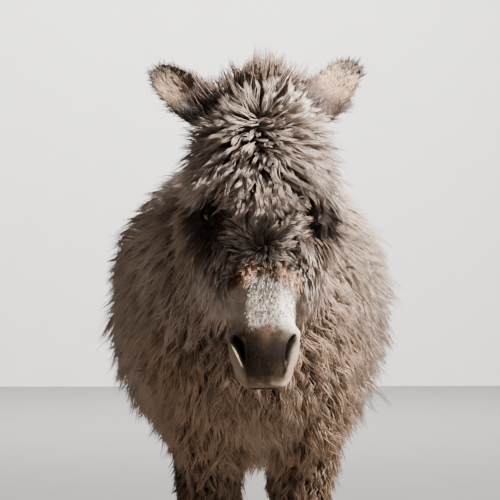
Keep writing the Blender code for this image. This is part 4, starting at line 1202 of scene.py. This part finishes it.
def skin_material(markings):
    """Bare and short-haired skin. Under the long coat it is darkened as painted shade, as dark as the depth
    of the coat looks.
    """
    made, s, shader = material("skin", tone(120, 104, 92))
    place = s.place()
    grain, fine = s.noise(place, 420.0, 3.0), s.noise(place, 1500.0)
    bare = s.step(s.dot(place, DOWN, -float(POLL @ DOWN)), 0.24, 0.28)
    # Painted shade under the long coat: the markings fall to 0.17 there, so the gaps between the hairs look
    # deep
    depth = s.mix(bare, (0.17, 0.15, 0.14), (0.86, 0.86, 0.86))
    colour = s.mix(1.0, marked(s, markings, place), depth, "MULTIPLY")
    colour = s.mix(s.step(grain, 0.35, 0.75, 0.0, 0.3), colour, tone(90, 72, 60), "MULTIPLY")
    # The skin's shade attribute: painted shade in the nostrils and the mouth's groove, dark lid rims with
    # painted shade at the eyes
    colour = s.mix(s.own("shade", "Fac"), colour, tone(24, 18, 15))
    s.fill(shader, Base_Color=colour, Roughness=s.step(fine, 0.3, 0.7, 0.62, 0.85), Specular_IOR_Level=0.12)
    s.bump(shader, s.sum("ADD", grain, s.times(fine, 0.5)), strength=0.5, distance=0.0008)
    return made


def ear_skin_material(markings):
    made, s, shader = material("ear_skin", tone(160, 140, 125))
    place = s.place()
    grain = s.noise(place, 260.0, 3.0)
    # Painted shade under the ear's hair: the markings fall to 0.42 to 0.7, patchy by the grain, so the gaps
    # between the hairs look deep
    depth = s.mix(grain, (0.42, 0.38, 0.36), (0.7, 0.66, 0.64))
    colour = s.mix(1.0, marked(s, markings, place), depth, "MULTIPLY")
    s.fill(shader, Base_Color=colour, Roughness=s.step(grain, 0.3, 0.7, 0.65, 0.85))
    s.bump(shader, grain, strength=0.4, distance=0.0006)
    return made


def eye_material():
    """A dark brown eye with a lying pupil. Its own places run along the opening, over it and out of it."""
    made, s, shader = material("eye_ball", tone(26, 19, 14))
    ball = s.own("ball_place")
    along, over, _ = s.split(ball)
    radius = s.apart(along, over)
    iris = s.mix(s.noise(ball, 14.0, 4.0), tone(26, 17, 12), tone(58, 38, 25))
    pupil = s.step(s.apart(s.sum("DIVIDE", along, 0.42), s.sum("DIVIDE", over, 0.2)), 1.1, 0.88)
    colour = s.mix(s.step(radius, 0.6, 0.76), s.mix(pupil, iris, tone(8, 7, 8)), tone(30, 22, 18))
    s.fill(shader, Base_Color=colour, Roughness=s.step(radius, 0.6, 0.8, 0.06, 0.16))
    s.fill(shader, Coat_Weight=0.5, Coat_Roughness=0.06)
    return made


def hoof_material():
    """Dark horn with upright streaks, paler at the floor, and dust on it."""
    made, s, shader = material("hoof_horn", tone(54, 48, 43))
    place = s.place()
    stretched = s.fill(s.add("ShaderNodeMapping"), Vector=place, Scale=(260.0, 260.0, 22.0))
    streak = s.noise(stretched.outputs[0], 1.0, 3.0)
    colour = s.mix(s.step(streak, 0.3, 0.7), tone(44, 38, 34), tone(84, 74, 65))
    colour = s.mix(s.step(s.dot(place, UP), 0.012, 0.0, 0.0, 0.55), colour, tone(120, 106, 90))
    dust = s.step(s.noise(place, 60.0, 3.0), 0.45, 0.75, 0.0, 0.45)
    colour = s.mix(dust, colour, tone(150, 134, 114))
    s.fill(shader, Base_Color=colour, Roughness=s.step(streak, 0.2, 0.8, 0.42, 0.68))
    s.bump(shader, streak, strength=0.6, distance=0.0006)
    return made


def eye_ball(side):
    gaze, slit, over = eye_axes(side)
    rings, places = [], []
    rows, columns = 24, 32
    for k in range(1, rows):
        angle = math.pi * k / rows
        bulge = 1.0 + 0.05 * math.exp(-((angle / 0.5) ** 2))
        ring = []
        for i in range(columns):
            turn = FULL_TURN * i / columns
            x, y, z = math.sin(angle) * math.cos(turn), math.sin(angle) * math.sin(turn), math.cos(angle)
            places.append((x, y, z))
            ring.append(on_side(EYE, side) + (slit * x + over * y + gaze * z) * (EYE_RADIUS * bulge))
        rings.append(ring)
    made = mesh_object(sided("eye_ball", side), *loft(rings))
    keep_places(made.data, "ball_place", places)
    return faced_out(made)


def hoof_form(name, sections, side, step):
    """A hoof with growth rings, flat on the floor."""
    _, back, middle, _, _ = sections[-1]
    heights = (0.0, 0.0, 0.0035, *np.linspace(0.006, CORONET_Z, 24), CORONET_Z + 0.002)
    insets = (0.01, 0.0025) + (0.0,) * (len(heights) - 3) + (0.01,)
    rings = []
    for height, inset in zip(heights, insets):
        share = min(height / CORONET_Z, 1.0)
        width, depth = (sole + (top - sole) * share for sole, top in zip(HOOF_SOLE, HOOF_TOP))
        ridge = HOOF_RIDGE * math.sin(height * HOOF_RIDGES) if 0.006 < height < CORONET_Z - 0.004 else 0.0
        grow = ridge + 0.0012 * bell(height, CORONET_Z - 0.005, 0.005) - inset
        centre = at(back, height, side * middle + step) - BACK * (HOOF_REACH * (1.0 - share))
        heel = depth * 0.82 + grow
        rings.append(oval(centre, BACK, width + grow, heel, depth + grow, sides=40, fullness=(2.2, 2.2)))
    return faced_out(mesh_object(name, *loft(rings)))


def roots_under(skin, places):
    """Where the skin lies under these places, across and behind, seen from above."""
    tree = BVHTree.FromObject(skin, bpy.context.evaluated_depsgraph_get())
    hits = [tree.ray_cast(Vector(at(back, ABOVE_Z, across)), Vector(-UP))[0] for across, back in places]
    return np.array([tuple(hit) for hit in hits if hit is not None])


def mane_piece(skin, draw):
    """The upright mane from the poll to the withers."""
    places = [(draw.uniform(-0.405, 0.01), draw.normal(0.0, 0.01)) for _ in range(MANE_WISPS)]
    roots = roots_under(skin, [(across, back) for back, across in places])
    count = len(roots)
    lean = np.stack((12.0 * roots[:, 0], np.full(count, -0.25), np.ones(count)), axis=1)
    length = 0.05 + 0.038 * ramp(WITHERS_Y - roots[:, 1], 0.02, 0.2) + draw.normal(0.0, 0.006, count)
    coat = plain_coat(unit(lean), length, width=0.003, curl=0.16, gather=0.6)
    flat_side = np.tile(ACROSS, (count, 1))
    return piece_of("mane_hair", roots, flat_side, coat, "body", draw, members=9, steps=4, taper=0.85)


def forelock_piece(skin, draw):
    """The forelock, between the ears."""
    places = [(draw.normal(0.0, 0.022), draw.uniform(-0.405, -0.355)) for _ in range(FORELOCK_WISPS)]
    roots = roots_under(skin, [(across, back) for across, back in places if abs(across) < 0.06])
    count = len(roots)
    lean = np.stack((roots[:, 0] / 0.06 * 0.4, np.full(count, -0.3), np.ones(count)), axis=1)
    lean = lean + draw.normal(0.0, 0.09, (count, 3))
    top = 1.107 - 0.2 * np.abs(roots[:, 0]) + draw.normal(0.0, 0.009, count)
    length = np.clip(top - roots[:, 2], 0.03, 0.12)
    coat = plain_coat(unit(lean), length, width=0.0029, curl=0.08, gather=0.84)
    flat_side = np.tile(-BACK, (count, 1))
    return piece_of("forelock_hair", roots, flat_side, coat, "head", draw, members=9, steps=4, taper=0.78)


def tail_piece(hide, draw):
    """The long hair of the lower half of the tail."""
    weight = tail_share(hide.middles) * fall(hide.middles[:, 2], 0.7, 0.79)
    roots, normals = hide.plant(weight * LONG_WISPS, draw)
    way = np.array((0.0, -0.04, -1.0)) + normals * np.array((0.1, 0.02, 0.0))
    length = 0.225 - 0.1 * ramp(roots[:, 2], 0.62, 0.78) + draw.normal(0.0, 0.012, len(roots))
    coat = plain_coat(unit(way), length, width=0.0036, curl=0.05, gather=0.55, hang=0.6, loose=0.35)
    return piece_of("tail_hair", roots, normals, coat, "body", draw, members=10, steps=4, taper=0.85)


def brow_piece(hide, side, draw):
    """The long hair of the brow, which droops over the eye."""
    down, out, across = head_places(hide.middles)
    weight = ramp(down, 0.07, 0.084) * fall(down, 0.106, 0.116) * ramp(across * side, 0.036, 0.05)
    weight = weight * ramp(out, -0.1, -0.075) * head_share(hide.middles)
    roots, normals = hide.plant(weight * LONG_WISPS, draw)
    way = OUT * 0.9 + DOWN * 0.2 + ACROSS * (side * 0.45) + draw.normal(0.0, 0.12, (len(roots), 3))
    length = draw.normal(0.072, 0.008, len(roots))
    coat = plain_coat(unit(way), length, width=0.0019, curl=0.1, gather=0.78, hang=1.1)
    name = sided("brow_hair", side)
    return piece_of(name, roots, normals, coat, "head", draw, members=9, steps=4, taper=0.85)


def lash_piece(side, draw):
    """Lashes along the upper lid, and a few shorter ones along the lower."""
    gaze, slit, over = eye_axes(side)
    paths = []
    for upper, count, size in ((1.0, 44, 0.0125), (-1.0, 18, 0.006)):
        for k in range(count):
            turn = math.pi * (0.08 + 0.84 * (k + draw.uniform(0.0, 0.9)) / count)
            along = -math.cos(turn) * EYE_OPENING[0] * 1.04
            high = upper * math.sin(turn) * EYE_OPENING[1] * 1.1
            depth = math.sqrt(max((EYE_RADIUS + 0.002) ** 2 - along**2 - high**2, 0.0))
            row = [on_side(EYE, side) + slit * along + over * high + gaze * depth]
            way = unit(gaze + over * upper * 0.35 + slit * (along / EYE_OPENING[0]) * 0.5)
            for _ in range(4):
                way = unit(way + over * upper * 0.16 + draw.normal(0.0, 0.05, 3) - UP * 0.1)
                row.append(row[-1] + way * size * draw.uniform(0.85, 1.1) / 4.0)
            paths.append(row)
    paths = np.array(paths)
    widths, normals = np.full(len(paths), 0.0006), np.tile(gaze, (len(paths), 1))
    tones = draw.random((len(paths), 2))
    places = unwrap_of(paths[:, 0], "head")
    return wisps(sided("lashes", side), paths, normals, widths, tones, places, taper=0.8)


def ear_piece(leaf, side, draw):
    """The coat of an ear, longest inside at its base."""
    hide = Hide(leaf.data)
    leaf_places = read_rows(leaf.data.attributes["leaf_place"].data, "vector")
    share, part, _ = leaf_places[hide.corners].mean(axis=1).T
    density = EAR_WISPS * ramp(share, -0.02, 0.04) * (1.0 + 1.5 * ramp(np.abs(part), 0.85, 0.97))
    roots, normals = hide.plant(density, draw)
    spots = hide.read(leaf_places)
    along, opening, across = ear_axes(side)
    share, part, inner = spots.T
    rim, base = ramp(np.abs(part), 0.8, 0.97), fall(share, 0.38, 0.6)
    lie = along + np.sign(part)[:, None] * across * (0.15 + 0.75 * rim)[:, None]
    lie = on_skin(lie + opening * (0.35 * inner + 0.25 * rim)[:, None], normals)
    length = 0.014 - 0.004 * share + inner * (0.01 + 0.018 * base) - 0.003 * rim
    rise = np.radians(20.0 + inner * (2.0 + 26.0 * base))
    rest = np.radians(6.0 + inner * (2.0 + 14.0 * base))
    coat = plain_coat(lie, length, width=0.0013, curl=0.1, gather=0.4, rise=rise, rest=rest)
    paths, tones = grown(roots, normals, coat, clumps=len(roots) // 6, steps=2, draw=draw)
    places = on_unwrap((part * 0.5 + 0.5) * 0.48 + 0.5 * (inner > 0.5), share)
    piece = wisps(sided("ear_hair", side), paths, normals, coat["width"], tones, places)
    keep_places(piece.data, "leaf_place", np.repeat(spots, paths.shape[1] * 3 - 2, axis=0))
    return piece


def coat_pieces(hide, draw):
    """The coat of the body in pieces by region, each with its slot."""
    roots, normals = hide.plant(hair_density(hide.middles), draw)
    down, out, _ = head_places(roots)
    back, left = roots[:, 1] - WITHERS_Y, roots[:, 0] > 0.0
    all_head, leg = head_share(roots) > 0.5, leg_share(roots) > 0.5
    muzzle = all_head & (down > MUZZLE_START)
    head, cheek = all_head & ~muzzle, out < CHEEK_START
    body = ~all_head & ~leg
    neck = body & (back < NECK_END)
    trunk, fore, rear = body & ~neck, back < SHOULDER_END, back > RUMP_START

    # Name, hairs, part of the skin, steps of a hair, hairs in a clump, and whether each side has its own
    regions = (
        ("muzzle_hair", muzzle, "head", 2, 12, False),
        ("face_hair", head & ~cheek, "head", 3, 7, True),
        ("cheek_hair", head & cheek, "head", 3, 7, True),
        ("neck_hair", neck, "body", 3, 5, False),
        ("shoulder_hair", trunk & fore, "body", 2, 5, True),
        ("flank_hair", trunk & ~fore & ~rear, "body", 2, 5, True),
        ("rump_hair", trunk & rear, "body", 2, 5, True),
        ("foreleg_hair", leg & (back < LEGS_PART), "leg", 2, 5, False),
        ("hindleg_hair", leg & (back >= LEGS_PART), "leg", 2, 5, False),
    )
    for name, chosen, region, steps, members, paired in regions:
        halves = ((sided(name, 1), left), (sided(name, -1), ~left)) if paired else ((name, True),)
        for full_name, half in halves:
            own = chosen & half
            coat = coat_at(roots[own], normals[own])
            piece = piece_of(full_name, roots[own], normals[own], coat, region, draw, members, steps)
            yield piece, region + "_coat"


def finished(piece, finish, slot, *stands_for):
    """Gives a piece its material and its body, and hides the solids that it stands for. The slot is not used.
    """
    piece.data.materials.clear()
    piece.data.materials.append(finish)
    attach(piece, "root")
    if stands_for:
        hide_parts(*stands_for)


def build_animal():
    draw = np.random.default_rng(SEED)
    markings, tones, leaf_colours = coat_markings(), wisp_tone(), ear_markings()
    crest, lash = tone(96, 78, 65), tone(84, 70, 60)
    body_hair = hair_material("coat_hair", markings, tones, root_dark_and_shade=0.2, spread=0.62)
    leg_hair = hair_material("leg_hair", markings, tones, root_dark_and_shade=0.2, spread=0.55)
    short_hair = hair_material("muzzle_hair", markings, tones, root_dark_and_shade=0.45, spread=0.5, gloss=0.08)
    crest_hair = hair_material("crest_hair", markings, tones, root_dark_and_shade=0.25, spread=0.8, tint=crest, share=0.78)
    lash_hair = hair_material("lash_hair", markings, tones, root_dark_and_shade=0.7, spread=0.4, tint=lash, share=0.85)
    ear_hair = hair_material(
        "ear_hair", leaf_colours, tones, root_dark_and_shade=0.55, spread=0.28, gloss=0.3, sheen=(0.18, 0.5)
    )
    ear_skin, eyes, horn = ear_skin_material(leaf_colours), eye_material(), hoof_material()

    skin = body_skin()
    hide = Hide(skin.data)
    legs = ("foreleg_left", "foreleg_right", "hindleg_left", "hindleg_right")
    finished(skin, skin_material(markings), "body_coat", "torso", "neck", "head", "tail", *legs)
    for piece, slot in coat_pieces(hide, draw):
        long_hair = leg_hair if slot == "leg_coat" else body_hair
        finished(piece, short_hair if piece.name == "muzzle_hair" else long_hair, slot)
    finished(mane_piece(skin, draw), crest_hair, "body_coat")
    finished(forelock_piece(skin, draw), crest_hair, "head_coat")
    finished(tail_piece(hide, draw), body_hair, "tail_coat")
    for side in (1, -1):
        leaf = ear_leaf(side)
        finished(leaf, ear_skin, "ear_coat", sided("ear", side))
        finished(ear_piece(leaf, side, draw), ear_hair, "ear_coat")
        finished(eye_ball(side), eyes, "eye", sided("eye", side))
        finished(lash_piece(side, draw), lash_hair, "head_coat")
        finished(brow_piece(hide, side, draw), body_hair, "head_coat")
        for hoof, sections, step in (("forehoof", FORELEG, FORE_STEP[side]), ("hindhoof", HINDLEG, 0.0)):
            form = hoof_form(sided(hoof + "_horn", side), sections, side, step)
            finished(form, horn, "hoof_horn", sided(hoof, side))


def lamp(name, place, target, size, power, colour):
    light = bpy.data.lights.new(name, "AREA")
    light.shape = "DISK"
    light.size = size
    light.energy = power
    light.color = colour
    holder = placed(name, light)
    holder.location = place
    holder.rotation_euler = (Vector(target) - Vector(place)).to_track_quat("-Z", "Y").to_euler()


def studio():
    """A plain pale floor and far wall, a soft sun from the right and above, and a weak sky."""
    ground = [(-30.0, -30.0, 0.0), (30.0, -30.0, 0.0), (30.0, 30.0, 0.0), (-30.0, 30.0, 0.0)]
    upright = [(-4.0, 11.0, 0.0), (-4.0, 11.0, 5.0), (4.0, 11.0, 5.0), (4.0, 11.0, 0.0)]
    for name, corners, darker, paler in (
        ("studio_floor", ground, tone(112, 109, 106), tone(122, 119, 115)),
        ("studio_wall", upright, tone(200, 197, 192), tone(208, 205, 200)),
    ):
        piece = mesh_object(name, corners, [(0, 1, 2, 3)])
        made, s, shader = material(name, paler)
        s.fill(shader, Base_Color=s.mix(s.noise(s.place(), 6.0, 3.0), darker, paler), Roughness=0.9)
        piece.data.materials.append(made)
    # Each lamp's name, place, aim, size, power in watts and colour
    animal = (0.0, -0.3, 0.7)
    lamp("key_light", (3.4, -1.6, 4.4), animal, 0.8, 2550.0, (1.0, 0.965, 0.92))
    lamp("fill_light", (-3.0, -3.4, 1.8), animal, 3.0, 5.0, (0.9, 0.94, 1.0))
    lamp("wall_light", (0.0, 7.0, 4.5), (0.0, 11.0, 1.0), 3.0, 800.0, (0.96, 0.98, 1.0))
    lamp("floor_light", (0.3, 7.0, 5.0), (0.3, 7.0, 0.0), 3.0, 700.0, (0.98, 0.98, 1.0))
    world = bpy.data.worlds.new("studio_sky")
    world.use_nodes = True
    Sheet(world.node_tree).fill(world.node_tree.nodes["Background"], Color=(0.8, 0.85, 0.92), Strength=0.035)
    bpy.context.scene.world = world


def camera():
    """A level long lens in front of the animal, a little to its right."""
    lens = bpy.data.cameras.new("camera")
    lens.lens = LENS
    lens.sensor_width = SENSOR
    holder = placed("camera", lens)
    holder.location = CAMERA_PLACE
    holder.rotation_euler = (math.radians(90.0), 0.0, CAMERA_TURN)
    bpy.context.scene.camera = holder


studio()
camera()
build_animal()
